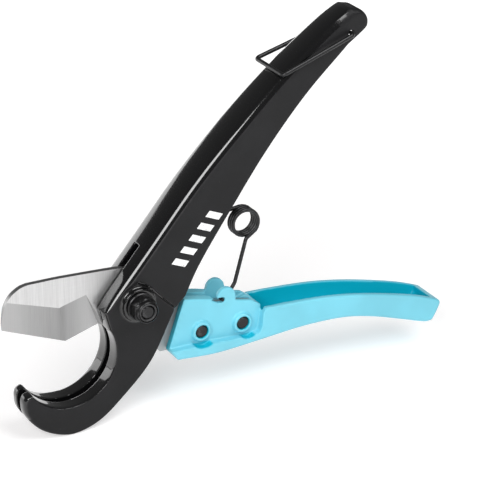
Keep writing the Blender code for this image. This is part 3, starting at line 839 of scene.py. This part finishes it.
def grinding(side, sizes):
    """What the grinding takes off one side: two flats that meet at a ridge, and a run-out."""
    start, end = -0.2, 1.5  # it goes on past either end of the ground band
    rows = []
    for i, ((tx, tz), (ex, ez)) in enumerate(zip(GRIND_TOP, GRIND_EDGE)):
        row = []
        for share in (start, end):
            depth = -0.02 if i == 3 else (sizes.blade_half - EDGE_LAND) * share
            row.append((tx + (ex - tx) * share, side * (sizes.blade_half - depth), tz + (ez - tz) * share))
        row += [(row[1][0], side * 4.0, row[1][2]), (row[0][0], side * 4.0, row[0][2])]
        rows.append(row)
    mesh = lofted(rows, finish_named("nose"))
    mesh.materials.append(finish_named("heel"))
    mesh.materials.append(finish_named("run-out"))
    # Each ground facet takes its own copy of the steel, with its own painted shade.
    for face in mesh.polygons:
        if face.center.x > GRIND_TOP[2][0]:
            face.material_index = 2
        elif face.center.x > GRIND_EDGE[1][0] - 2.0:
            face.material_index = 1
    return mesh


def build_blade(sizes):
    outline = [*smooth(BLADE_NOSE, 6)[:-1], *smooth(BLADE_SPINE, 4), *TANG_TOP, *TANG_BOTTOM, *BLADE_EDGE]
    obj = new_object("blade", plate(outline, -sizes.blade_half, sizes.blade_half, finish_named("brushed")))
    obj.data.materials.append(finish_named("edge"))
    for face in obj.data.polygons:
        if abs(face.normal.y) < 0.5:
            face.material_index = 1
    carve(obj, *(grinding(side, sizes) for side in SIDES))
    steel = finish_named("brushed")
    carve(obj, bar(sizes.bolt_hole, -5, 5, (0.0, 0.0), steel))
    carve(obj, *(bar(sizes.screw_radius + SCREW_GAP, -5, 5, centre, steel) for centre in BLADE_SCREWS))
    settle("cutting_blade", taken(obj), "lever", ["blade"], flat=True)


# ---------------------------------------------------------------- lever casting

LEVER_TOP = ((23.6, -4.4), (36.0, -7.0), (47.0, -10.0), (58.0, -12.6))
LEVER_RIM = ((62.8, -16.0), (77.0, -16.6), (97.0, -18.2), (117.4, -21.8), (141.3, -28.0), (155.0, -33.0))
LEVER_NOSE = ((156.2, -35.2), (152.6, -42.2), (150.6, -43.2))
BELLY_REAR = ((146.6, -42.7), (133.3, -38.2), (117.7, -33.3), (102.3, -30.4))
LEVER_BELLY = (*BELLY_REAR, (82.2, -29.9), (59.5, -31.5), (38.0, -32.8))
LEVER_FRONT = ((18.8, -31.6), (15.8, -27.6))
RECESS_LEDGE = ((8.0, -26.8), (31.0, -26.8), (45.0, -27.6), (56.0, -28.0))
RECESS_STEP = ((61.0, -24.0), (61.4, -18.5), (62.7, -16.2), (62.7, 5.0), (8.0, 5.0))
RECESS_CORNER = (59.6, -27.2)
RELIEFS = (((31.9, -21.6), 6.9), ((54.1, -23.3), 5.6))
TANG_SLOT = ((8.0, 5.0), (61.0, 5.0), (61.0, -26.8), (40.0, -29.4), (8.0, -30.4))
FOOT_WELL = (
    (38.6, -11.0), (43.6, -13.4), (46.4, -15.2), (52.0, -15.2), (64.0, -12.0), (64.0, 5.0), (38.6, 5.0)
)
HOLLOW_END = ((148.5, -38.0), (151.5, -34.6), (151.5, 0.0))
EAR_CENTRE = (44.8, -8.0)
EAR_RADIUS = 4.6
LEVER_EDGE = ((0.0, 1.0), (0.12, 0.6), (0.4, 0.28), (0.8, 0.07), (1.3, 0.0))


def lever_half(x, sizes):
    """Half the lever's width at this place along X."""
    share = max(0.0, x - TAPER_START) / (LEVER_NOSE[0][0] - TAPER_START)
    return sizes.lever_half + (sizes.lever_nose_half - sizes.lever_half) * share


def lever_blank(sizes):
    """The lever before anything is cut from it, with its rounded edges."""
    rim = smooth(LEVER_RIM)
    belly = smooth([LEVER_NOSE[-1], *LEVER_BELLY, LEVER_FRONT[0]])[1:-1]
    nose = smooth([LEVER_RIM[-1], *LEVER_NOSE], 4)[1:]
    outline = [*LEVER_TOP, *rim, *nose, *belly, *LEVER_FRONT]
    wide = [0.5] * len([*LEVER_TOP, *rim]) + [0.8] * len(nose) + [1.0] * len(belly)
    wide = blurred(wide + [0.8] * len(LEVER_FRONT), 2)
    normals = outward(outline)
    sections = []
    for side in SIDES:
        for depth, share in LEVER_EDGE if side < 0 else reversed(LEVER_EDGE):
            section = []
            for (x, z), normal, blend in zip(outline, normals, wide):
                y = side * (lever_half(x, sizes) - depth)
                out = sizes.lever_edge * blend * share
                section.append((x - normal.x * out, y, z - normal.y * out))
            sections.append(section)
    return lofted(sections, marker("blue"))


def lever_hollow(sizes):
    """The hollow of the lever's handle, open upwards, with its floor along the belly."""
    belly = smooth(LEVER_BELLY[1:-1])
    rows = list(zip(belly, outward(belly)))[1:-1]
    floor = [(x - n.x * sizes.lever_floor, z - n.y * sizes.lever_floor) for (x, z), n in rows]
    floor = [point for point in floor if point[0] > sizes.hollow_front + 3.0]
    front = ((sizes.hollow_front, floor[-1][1]), (sizes.hollow_front, 0.0))
    outline = [*reversed(HOLLOW_END), *floor, *front]
    sections = []
    for side in SIDES:
        sections.append([(x, side * (lever_half(x, sizes) - sizes.lever_wall), z) for x, z in outline])
    # The hollow's faces carry the marker for the lever's painted shade.
    return lofted(sections, marker("painted_shade_teal"))


def screw_boss(side, centre, sizes):
    radius, height = sizes.screw_boss_radius, sizes.screw_boss_height
    turns = (0.4, 0.9, 1.57)
    rim = ((0.1, 0.4), (0.35, 0.08), (0.7, 0.0))
    return boss(side, centre, radius, sizes.flange_half, height, 0.8, turns, rim, "blue")


def hook_ear(side, sizes):
    """One of the two ears behind the screws that hold the spring's foot."""
    outline = [*arc(EAR_RADIUS, 172, 0, 24, EAR_CENTRE), (49.4, -16.0), (40.3, -16.0)]
    return plate(outline, *sorted((side * (sizes.ear_inner - 0.3), side * sizes.ear_outer)), marker("blue"))


def hook_mouth(sizes):
    """The hole in the near ear that the spring's foot lies in, open towards the front."""
    gap = sizes.spring_wire + 0.3
    x, z = joint_mm("spring_foot")
    outline = [*arc(gap, -90, 90, 12, (x, z)), (x - 6.0, z + gap), (x - 6.0, z + 1.0), (x - 2.0, z - gap)]
    return plate(outline, -CLEAR, 0, marker("blue"))


def tang_mouth(sizes):
    """The V in the lever's front that opens the slot towards the jaw, along the line of the front."""
    (low_x, low_z), (high_x, high_z) = LEVER_FRONT[-1], LEVER_TOP[0]
    wide = sizes.flange_half - 0.3
    slot = sizes.tang_slot_half - 0.15
    sections = []
    for share in (-0.4, 1.3):
        x = low_x + (high_x - low_x) * share
        z = low_z + (high_z - low_z) * share
        half = [(x - sizes.tang_mouth, wide), (x, wide), (x + sizes.tang_mouth, slot)]
        sections.append([(a, b, z) for a, b in half] + [(a, -b, z) for a, b in reversed(half)])
    # The mouth's faces carry the marker for the lever's painted shade.
    return lofted(sections, marker("painted_shade_teal"))


def relief(side, centre, radius, sizes):
    """A round pocket that clears the ledge beside a screw boss."""
    ends = sorted((side * (sizes.flange_half + 0.05), side * CLEAR))
    # The pocket's faces carry the marker for the lever's painted shade.
    return bar(radius, *ends, centre, marker("painted_shade_teal"))


def build_lever(sizes):
    obj = new_object("lever", lever_blank(sizes))
    carve(obj, lever_hollow(sizes))
    bend = smooth([RECESS_LEDGE[-1], RECESS_CORNER, RECESS_STEP[0]], 4)[1:-1]
    recess = [*RECESS_LEDGE, *bend, *RECESS_STEP]
    flanks = [sorted((side * sizes.flange_half, side * CLEAR)) for side in SIDES]
    carve(obj, *(plate(recess, *ends, marker("blue")) for ends in flanks))
    for centre, radius in RELIEFS:
        carve(obj, *(relief(side, centre, radius, sizes) for side in SIDES))
    bosses = [screw_boss(side, centre, sizes) for side in SIDES for centre in BLADE_SCREWS]
    carve(obj, *bosses, *(hook_ear(side, sizes) for side in SIDES), operation="UNION")
    carve(obj, plate(TANG_SLOT, -sizes.tang_slot_half, sizes.tang_slot_half, marker("blue")))
    carve(obj, tang_mouth(sizes))
    carve(obj, plate(FOOT_WELL, -sizes.ear_inner, sizes.ear_inner, marker("blue")))
    carve(obj, hook_mouth(sizes))
    hole = sizes.screw_radius + SCREW_GAP
    # The screw holes' faces carry the marker for the lever's painted shade.
    carve(obj, *(bar(hole, -CLEAR, CLEAR, centre, marker("painted_shade_teal")) for centre in BLADE_SCREWS))
    # The marked faces become the deeper painted shade of the lever enamel.
    cast(obj, finish_named("lever enamel"), "painted_shade_teal", 0.35, 0.5)
    settle("lever_body", taken(obj), "lever", ["lever_casting"], 40.0)


# ---------------------------------------------------------------- fasteners


def hexagon(across_flats):
    return [polar(across_flats / math.sqrt(3), 30 + 60 * i) for i in range(6)]


def hex_block(across_flats, near, far, chamfer_near, chamfer_far, finish):
    """A hexagonal block whose corners are turned off at either end."""
    obj = new_object("hex", plate(hexagon(across_flats), near, far, finish))
    corner = across_flats / math.sqrt(3) + 0.05
    flat = across_flats / 2
    cone_near = [(flat - 0.35, near), (corner, near + 0.7)] if chamfer_near else [(corner, near)]
    cone_far = [(corner, far - 0.7), (flat - 0.35, far)] if chamfer_far else [(corner, far)]
    profile = [(0.0, near), *cone_near, *cone_far, (0.0, far)]
    carve(obj, turned(profile, finish), operation="INTERSECT")
    return taken(obj)


def build_pivot(sizes):
    steel = finish_named("oxide")
    low, high = node_mm("pivot_bolt")
    head = node_mm("pivot_washer_far")[1].y + 0.3
    under_nut = node_mm("pivot_washer_near")[1].y
    nut_low, nut_high = node_mm("pivot_locknut")
    obj = new_object("bolt", hex_block(sizes.head_across_flats, head, high.y, False, True, steel))
    width = sizes.shoulder_radius
    shoulder = [(0.0, under_nut), (width, under_nut), (width, head + 1.0), (0.0, head + 1.0)]
    carve(obj, turned(shoulder, steel), operation="UNION")
    width = sizes.thread_radius
    thread = [(0.0, low.y), (width - 0.5, low.y), (width, low.y + 0.5)]
    thread += [(width, under_nut + 1.0), (0.0, under_nut + 1.0)]
    carve(obj, turned(thread, steel), operation="UNION")
    ease(obj, 0.12)
    settle("hinge_bolt", taken(obj), "frame", ["pivot_bolt"])
    washers = {"pivot_washer_near": sizes.thread_radius, "pivot_washer_far": sizes.shoulder_radius}
    for name, inner in washers.items():
        low, high = node_mm(name)
        radius = high.x
        profile = [(radius, low.y + 0.3), (radius, high.y - 0.3), (radius - 0.3, high.y)]
        profile += [(inner + 0.5, high.y), (inner + 0.3, high.y - 0.2), (inner + 0.3, low.y + 0.2)]
        profile += [(inner + 0.5, low.y), (radius - 0.3, low.y)]
        mesh = turned(profile, steel, ring=True)
        settle(name.replace("pivot", "hinge"), mesh, "frame", [name])
    seat = nut_high.y
    top = seat - sizes.nut_height
    end = nut_low.y
    obj = new_object("nut", hex_block(sizes.nut_across_flats, top, seat, True, False, steel))
    collar = sizes.collar_radius
    profile = [(0.0, end), (collar - 1.3, end), (collar - 0.75, end + 0.06), (collar - 0.35, end + 0.28)]
    profile += [(collar - 0.08, end + 0.7), (collar, end + 1.1), (collar, top + 0.5), (0.0, top + 0.5)]
    carve(obj, turned(profile, steel), operation="UNION")
    bore = sizes.thread_radius + 0.3
    inside = [(0.0, end - 1.0), (sizes.nylon_seat, end - 1.0), (sizes.nylon_seat, end + 1.98)]
    inside += [(bore, end + 1.98), (bore, seat + 1.0), (0.0, seat + 1.0)]
    carve(obj, turned(inside, steel))
    ease(obj, 0.12)
    settle("lock_nut", taken(obj), "frame", ["pivot_locknut"])
    low, high = node_mm("locknut_nylon_ring")
    outer = high.x
    profile = [(outer - 0.3, low.y), (outer, low.y + 0.3), (outer, high.y), (bore, high.y)]
    profile += [(bore, low.y + 0.4), (bore + 0.3, low.y)]
    mesh = turned(profile, finish_named("nylon"), ring=True)
    settle("nylon_ring", mesh, "frame", ["locknut_nylon_ring"])


def build_screws(sizes):
    """Two screws through the lever: sunk plain ends on the near side, socket heads on the far side."""
    steel = finish_named("oxide")
    for node, name in (("blade_screw_front", "front_screw"), ("blade_screw_rear", "rear_screw")):
        low, high = node_mm(node)
        centre = ((low.x + high.x) / 2, (low.z + high.z) / 2)
        head = (high.x - low.x) / 2
        under = sizes.flange_half + sizes.screw_boss_height + 0.3
        r = sizes.screw_radius
        shank = [(0.0, low.y + 0.25), (r - 1.0, low.y + 0.15), (r - 0.45, low.y), (r, low.y + 0.4)]
        cap = [(r, under), (head - 0.2, under), (head, under + 0.2), (head, high.y - 0.9)]
        cap += [(head - 0.3, high.y - 0.3), (head - 0.8, high.y)]
        socket = [(1.8, high.y), (1.5, high.y - 0.3), (1.5, high.y - 1.6), (0.0, high.y - 1.9)]
        profile = [*shank, *cap, *socket]
        settle(name, turned(profile, steel, centre), "lever", [node])


# ---------------------------------------------------------------- wires


LEG_BENDS = ((50.7, -3.6), (56.4, 16.6))
LEG_MEETS = 2  # the turn's point that the lower leg runs into


def build_spring(sizes):
    """One wire: the foot in the lever's hook, the lower leg, three turns and the upper leg."""
    coil = joint_mm("spring_coil")
    foot = joint_mm("spring_foot")
    half = sizes.coil_pitch * sizes.coil_turns / 2
    start = sizes.leg_leaves
    end = sizes.upper_leg_angle - 90.0 + 360.0 * sizes.coil_turns
    steps = 28 * sizes.coil_turns
    turns = []
    for i in range(steps + 1):
        share = i / steps
        x, z = polar(sizes.coil_radius, start + (end - start) * share, coil)
        turns.append(Vector((x, half * (2 * share - 1), z)))
    x, z = foot
    hook = [(x, -sizes.ear_outer - 0.2, z), (x, -half, z), (x + 5.0, -half, z + 1.0)]
    arm = [(bx, -half, bz) for bx, bz in LEG_BENDS]
    leg = bent([*hook, *arm, tuple(turns[LEG_MEETS])], 2.2)
    last = turns[-1]
    tip = polar(sizes.upper_leg, sizes.upper_leg_angle, (last.x, last.z))
    points = [*leg[:-1], *turns[LEG_MEETS:], Vector((tip[0], last.y, tip[1]))]
    mesh = wire_mesh(points, sizes.spring_wire, finish_named("oxide"))
    nodes = ["spring_coil_and_upper_leg", "spring_lower_leg"]
    obj = settle("torsion_spring", mesh, None, nodes, 60.0)
    ends = [(coil[0] * MM, MID_PLANE + y * MM, coil[1] * MM) for y in (-half, half)]
    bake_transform(obj)


def build_latch(sizes):
    """The wire loop whose ends turn in through the handle's two holes."""
    pivot = joint_mm("latch_swing")
    along = Vector(polar(1.0, sizes.latch_angle))
    side = [(0.0, 5.0), (0.0, 9.7), (sizes.latch_length, sizes.latch_half)]
    points = [(pivot[0] + along.x * s, -y, pivot[1] + along.y * s) for s, y in side]
    points += [(x, -y, z) for x, y, z in reversed(points)]
    mesh = wire_mesh(bent(points, 1.9), sizes.latch_wire, finish_named("oxide"))
    settle("latch_wire", mesh, "latch", ["latch_bail"], 60.0)


# ---------------------------------------------------------------- stage


def floor_finish():
    """White paper with a painted glow: its emission grows brighter away from the tool, painted light that
    keeps the far floor white.
    """
    f = Finish("pale floor")
    cloud = f.noise(3.0, 2.0)
    base = f.mix(cloud, (0.58, 0.58, 0.58), (0.62, 0.62, 0.62))
    away = f.node("ShaderNodeVectorMath", {"operation": "LENGTH"}, {"Vector": f.place}, "Value")
    return f.shade(
        Base_Color=base,
        Roughness=cloud * 0.1 + 0.6,
        Specular_IOR_Level=0.2,
        # Painted light: the floor glows, dimmer near the tool and brighter away from it.
        Emission_Color=f.mix(away.ramp(0.12, 0.7), (0.54, 0.53, 0.53), (0.95, 0.95, 0.95)),
        Emission_Strength=1.0,
    )


def area_light(name, place, target, size, power, stretch=1.0):
    """A rectangular light that faces the target. Its height is its width times the stretch."""
    data = bpy.data.lights.new(name, "AREA")
    data.shape = "RECTANGLE"
    data.size = size
    data.size_y = size * stretch
    data.energy = power
    obj = bpy.data.objects.new(name, data)
    obj.location = place
    obj.rotation_euler = (Vector(target) - Vector(place)).to_track_quat("-Z", "Y").to_euler()
    bpy.context.scene.collection.objects.link(obj)


def build_world(light):
    """An even white room."""
    world = bpy.data.worlds.new("studio")
    world.use_nodes = True
    world.node_tree.nodes["Background"].inputs["Color"].default_value = (1.0, 1.0, 1.0, 1.0)
    world.node_tree.nodes["Background"].inputs["Strength"].default_value = light.room
    bpy.context.scene.world = world


def build_camera():
    """The camera that looks at the tool from the near side, from the left and from above."""
    turn = math.radians(-28.5)
    rise = math.radians(24.3)
    right = Vector((math.cos(turn), math.sin(turn), 0.0))
    back = Vector((math.sin(turn) * math.cos(rise), -math.cos(turn) * math.cos(rise), math.sin(rise)))
    up = back.cross(right)
    unit = 0.4375 * MM
    frame_right, frame_up, distance, frame_side = -103, -62, 2378, 494
    origin = Vector((12.0, 0.0, -17.0))
    place = (origin - right * frame_right - up * frame_up + back * distance) * unit
    place += Vector((0.0, MID_PLANE, 0.0))
    data = bpy.data.cameras.new("camera")
    data.sensor_width = 36.0
    data.sensor_fit = "AUTO"
    data.lens = distance * 36.0 / frame_side
    data.clip_start = 0.01
    camera = bpy.data.objects.new("camera", data)
    camera.matrix_world = Matrix.Translation(place) @ Matrix((right, up, back)).transposed().to_4x4()
    bpy.context.scene.collection.objects.link(camera)
    bpy.context.scene.camera = camera


def build_stage(light):
    """The floor under the tool, three lights, the room and the camera."""
    bm = bmesh.new()
    lowest = Matrix.Translation((0.0, 0.0, CAD_BOX[0][2]))
    bmesh.ops.create_grid(bm, x_segments=8, y_segments=8, size=4.0, matrix=lowest)
    floor = new_object("floor", as_mesh(bm, floor_finish()))
    centre = (0.04, MID_PLANE, 0.02)
    area_light("key", (-0.6, -0.62, 0.54), centre, 0.42, light.key, 1.2)
    area_light("overhead", (0.35, -0.58, 1.0), centre, 0.8, light.overhead)
    area_light("backdrop", (-0.35, 1.1, 0.16), (0.0, MID_PLANE, 0.1), 1.6, light.backdrop, 0.22)
    build_world(light)
    build_camera()
    bpy.context.scene.view_settings.view_transform = "Standard"


# ---------------------------------------------------------------- sizes, colours and operators


def length(name, default, description):
    """A size in millimetres."""
    return FloatProperty(name=name, description=description, default=default, min=0.01, precision=2)


def direction(name, default, description):
    """An angle in degrees."""
    return FloatProperty(name=name, description=description, default=default)


class CutterSizes(bpy.types.PropertyGroup):
    """Sizes of the pipe cutter, in millimetres."""

    handle_half: length("Handle half width", 9.6, "Half the width of the fixed handle")
    tip_half: length("Handle tip half width", 7.2, "Half the width of the handle at its tip")
    jaw_tip_half: length("Jaw tip half width", 6.9, "Half the width of the jaw at its tip")
    step: length("Step", 0.6, "How far the side below the step line lies under the handle's side")
    crown: length("Crown", 1.3, "How far the web's front stands out in the middle")
    edge_blend: length("Edge blend", 3.2, "Width of the blend from the side to the front")
    web: length("Web", 3.2, "Thickness of the handle's web")
    channel_half: length("Channel half width", 7.1, "Half the width of the handle's hollow")
    channel_tip_half: length("Channel tip half width", 5.0, "Half the width of the hollow at the tip")
    channel_radius: length("Channel radius", 23.2, "From the pivot to the start of the hollow")
    slot_half: length("Slot half width", 1.8, "Half the width of the blade's slot")
    slot_radius: length("Groove radius", 30.6, "From the pipe's centre to the floor of the jaw's groove")
    pipe_radius: length("Bowl radius", 21.7, "Radius of the jaw's bowl")
    boss_radius: length("Boss radius", 7.6, "Radius of the pivot boss")
    boss_height: length("Boss height", 2.1, "Height of the pivot boss")
    bolt_hole: length("Bolt hole", 4.3, "Radius of the pivot hole")
    latch_hole: length("Latch hole", 1.3, "Radius of the latch wire's holes")
    blade_half: length("Blade half thickness", 1.25, "Half the blade's thickness")
    lever_half: length("Lever half width", 10.4, "Half the width of the lever")
    lever_nose_half: length("Lever nose half width", 9.8, "Half the width of the lever at its nose")
    lever_edge: length("Lever edge", 1.5, "Width of the lever's rounded edges")
    lever_wall: length("Lever wall", 2.6, "Thickness of the lever's walls")
    lever_floor: length("Lever floor", 3.0, "Thickness of the lever's floor")
    hollow_front: length("Hollow front", 62.0, "Where the lever's hollow starts, along X")
    flange_half: length("Flange half width", 6.6, "Half the width of the lever's recessed front")
    tang_slot_half: length("Tang slot half width", 1.6, "Half the width of the slot that holds the blade")
    tang_mouth: length("Tang mouth", 1.2, "How far the flanges' fronts slant back towards the tang")
    ear_inner: length("Ear inner face", 4.2, "From the middle plane to the inner face of a hook ear")
    ear_outer: length("Ear outer face", 6.5, "From the middle plane to the outer face of a hook ear")
    screw_radius: length("Screw radius", 2.85, "Radius of the blade screws")
    screw_boss_radius: length("Screw boss radius", 4.6, "Radius of the bosses round the blade screws")
    screw_boss_height: length("Screw boss height", 2.0, "Height of the bosses round the blade screws")
    head_across_flats: length("Bolt head across flats", 13.0, "Width of the pivot bolt's head")
    nut_across_flats: length("Nut across flats", 10.4, "Width of the lock nut")
    nut_height: length("Nut height", 4.2, "Height of the lock nut's hexagon")
    collar_radius: length("Collar radius", 5.1, "Radius of the lock nut's collar")
    nylon_seat: length("Nylon seat", 4.5, "Radius of the seat of the nylon ring")
    shoulder_radius: length("Shoulder radius", 4.0, "Radius of the pivot bolt's shoulder")
    thread_radius: length("Thread radius", 2.95, "Radius of the pivot bolt's thread")
    spring_wire: length("Spring wire", 0.9, "Radius of the spring's wire")
    coil_radius: length("Coil radius", 6.1, "Radius of the coil, to the middle of its wire")
    coil_pitch: length("Coil pitch", 1.95, "From one turn to the next")
    coil_turns: IntProperty(name="Coil turns", description="Whole turns of the spring", default=3, min=1)
    leg_leaves: direction("Leg leaves", -70.0, "Where the lower leg meets the coil, in degrees")
    upper_leg: length("Upper leg", 42.6, "Length of the spring's upper leg")
    upper_leg_angle: direction("Upper leg angle", 187.0, "Direction of the upper leg, in degrees")
    latch_wire: length("Latch wire", 1.0, "Radius of the latch wire")
    latch_half: length("Latch half width", 12.2, "Half the width of the latch at its closed end")
    latch_length: length("Latch length", 38.2, "From the latch's pivot to its closed end")
    latch_angle: direction("Latch angle", 197.6, "Direction of the latch, in degrees")


def colour(name, default, description):
    """A colour, as red, green and blue."""
    return FloatVectorProperty(
        name=name, description=description, default=default, subtype="COLOR", min=0.0, max=1.0
    )


def power(name, default, description):
    """A light's power in watts."""
    return FloatProperty(name=name, description=description, default=default, min=0.0, unit="POWER")


class CutterColours(bpy.types.PropertyGroup):
    """Colours of the pipe cutter."""

    enamel: colour("Black enamel", (0.012, 0.012, 0.013), "Enamel of the frame casting")
    steel: colour("Blade steel", (0.72, 0.72, 0.72), "Steel of the blade")
    oxide: colour("Black oxide", (0.03, 0.03, 0.031), "Oxide on wire and fasteners")
    lever: colour("Lever enamel", (0.165, 0.56, 0.69), "Enamel of the lever casting")
    # Painted shade: the deeper blue-green that stands for the shade in the lever's hollows, holes and
    # pockets.
    hollow: colour("Lever hollow", (0.0, 0.42, 0.56), "Enamel inside the lever casting")
    print: colour("Print", (0.85, 0.85, 0.85), "Printed bars on the handle")


class StageLight(bpy.types.PropertyGroup):
    """Light of the stage."""

    room: FloatProperty(name="Room light", description="Brightness of the room", default=0.13, min=0.0)
    key: power("Key light", 7.0, "Power of the light at the left")
    overhead: power("Overhead light", 10.0, "Power of the light above")
    backdrop: power("Backdrop light", 4.0, "Power of the low light behind")


class FrameOperator(bpy.types.Operator):
    """Builds the casting of fixed handle and hook jaw"""

    bl_idname = "pipe_cutter.frame"
    bl_label = "Frame casting"

    def execute(self, context):
        build_frame(context.scene.cutter_sizes)
        return {"FINISHED"}


class PrintOperator(bpy.types.Operator):
    """Builds the plain printed bars on the handle's sides"""

    bl_idname = "pipe_cutter.printed_bars"
    bl_label = "Printed bars"

    def execute(self, context):
        build_print(context.scene.cutter_sizes)
        return {"FINISHED"}


class BladeOperator(bpy.types.Operator):
    """Builds the ground blade"""

    bl_idname = "pipe_cutter.blade"
    bl_label = "Blade"

    def execute(self, context):
        build_blade(context.scene.cutter_sizes)
        return {"FINISHED"}


class LeverOperator(bpy.types.Operator):
    """Builds the lever casting with its hollow, bosses and hook"""

    bl_idname = "pipe_cutter.lever"
    bl_label = "Lever casting"

    def execute(self, context):
        build_lever(context.scene.cutter_sizes)
        return {"FINISHED"}


class PivotOperator(bpy.types.Operator):
    """Builds the pivot bolt, its washers, the lock nut and its nylon ring"""

    bl_idname = "pipe_cutter.pivot"
    bl_label = "Pivot bolt and nut"

    def execute(self, context):
        build_pivot(context.scene.cutter_sizes)
        return {"FINISHED"}


class ScrewsOperator(bpy.types.Operator):
    """Builds the two screws that clamp the blade in the lever"""

    bl_idname = "pipe_cutter.blade_screws"
    bl_label = "Blade screws"

    def execute(self, context):
        build_screws(context.scene.cutter_sizes)
        return {"FINISHED"}


class SpringOperator(bpy.types.Operator):
    """Builds the torsion spring that opens the lever"""

    bl_idname = "pipe_cutter.spring"
    bl_label = "Torsion spring"

    def execute(self, context):
        build_spring(context.scene.cutter_sizes)
        return {"FINISHED"}


class LatchOperator(bpy.types.Operator):
    """Builds the wire latch at the handle's tip"""

    bl_idname = "pipe_cutter.latch"
    bl_label = "Wire latch"

    def execute(self, context):
        build_latch(context.scene.cutter_sizes)
        return {"FINISHED"}


class StageOperator(bpy.types.Operator):
    """Builds the floor, the lights and the camera"""

    bl_idname = "pipe_cutter.stage"
    bl_label = "Stage"

    def execute(self, context):
        build_stage(context.scene.stage_light)
        return {"FINISHED"}


PIECE_OPERATORS = (
    FrameOperator,
    PrintOperator,
    BladeOperator,
    LeverOperator,
    PivotOperator,
    ScrewsOperator,
    SpringOperator,
    LatchOperator,
    StageOperator,
)


class CutterPanel(bpy.types.Panel):
    """Lists the cutter's pieces and the stage"""

    bl_idname = "VIEW3D_PT_pipe_cutter"
    bl_label = "Pipe Cutter"
    bl_space_type = "VIEW_3D"
    bl_region_type = "UI"
    bl_category = "Pipe Cutter"

    def draw(self, context):
        for operator in PIECE_OPERATORS:
            self.layout.operator(operator.bl_idname)


GROUPS = {"cutter_sizes": CutterSizes, "cutter_colours": CutterColours, "stage_light": StageLight}


def register():
    for cls in (*GROUPS.values(), *PIECE_OPERATORS, CutterPanel):
        bpy.utils.register_class(cls)
    for name, group in GROUPS.items():
        setattr(bpy.types.Scene, name, PointerProperty(type=group))


def unregister():
    for name in GROUPS:
        delattr(bpy.types.Scene, name)
    for cls in reversed((*GROUPS.values(), *PIECE_OPERATORS, CutterPanel)):
        bpy.utils.unregister_class(cls)


def main():
    register()
    for operator in PIECE_OPERATORS:
        getattr(bpy.ops.pipe_cutter, operator.bl_idname.split(".")[1])()


if __name__ == "__main__":
    main()
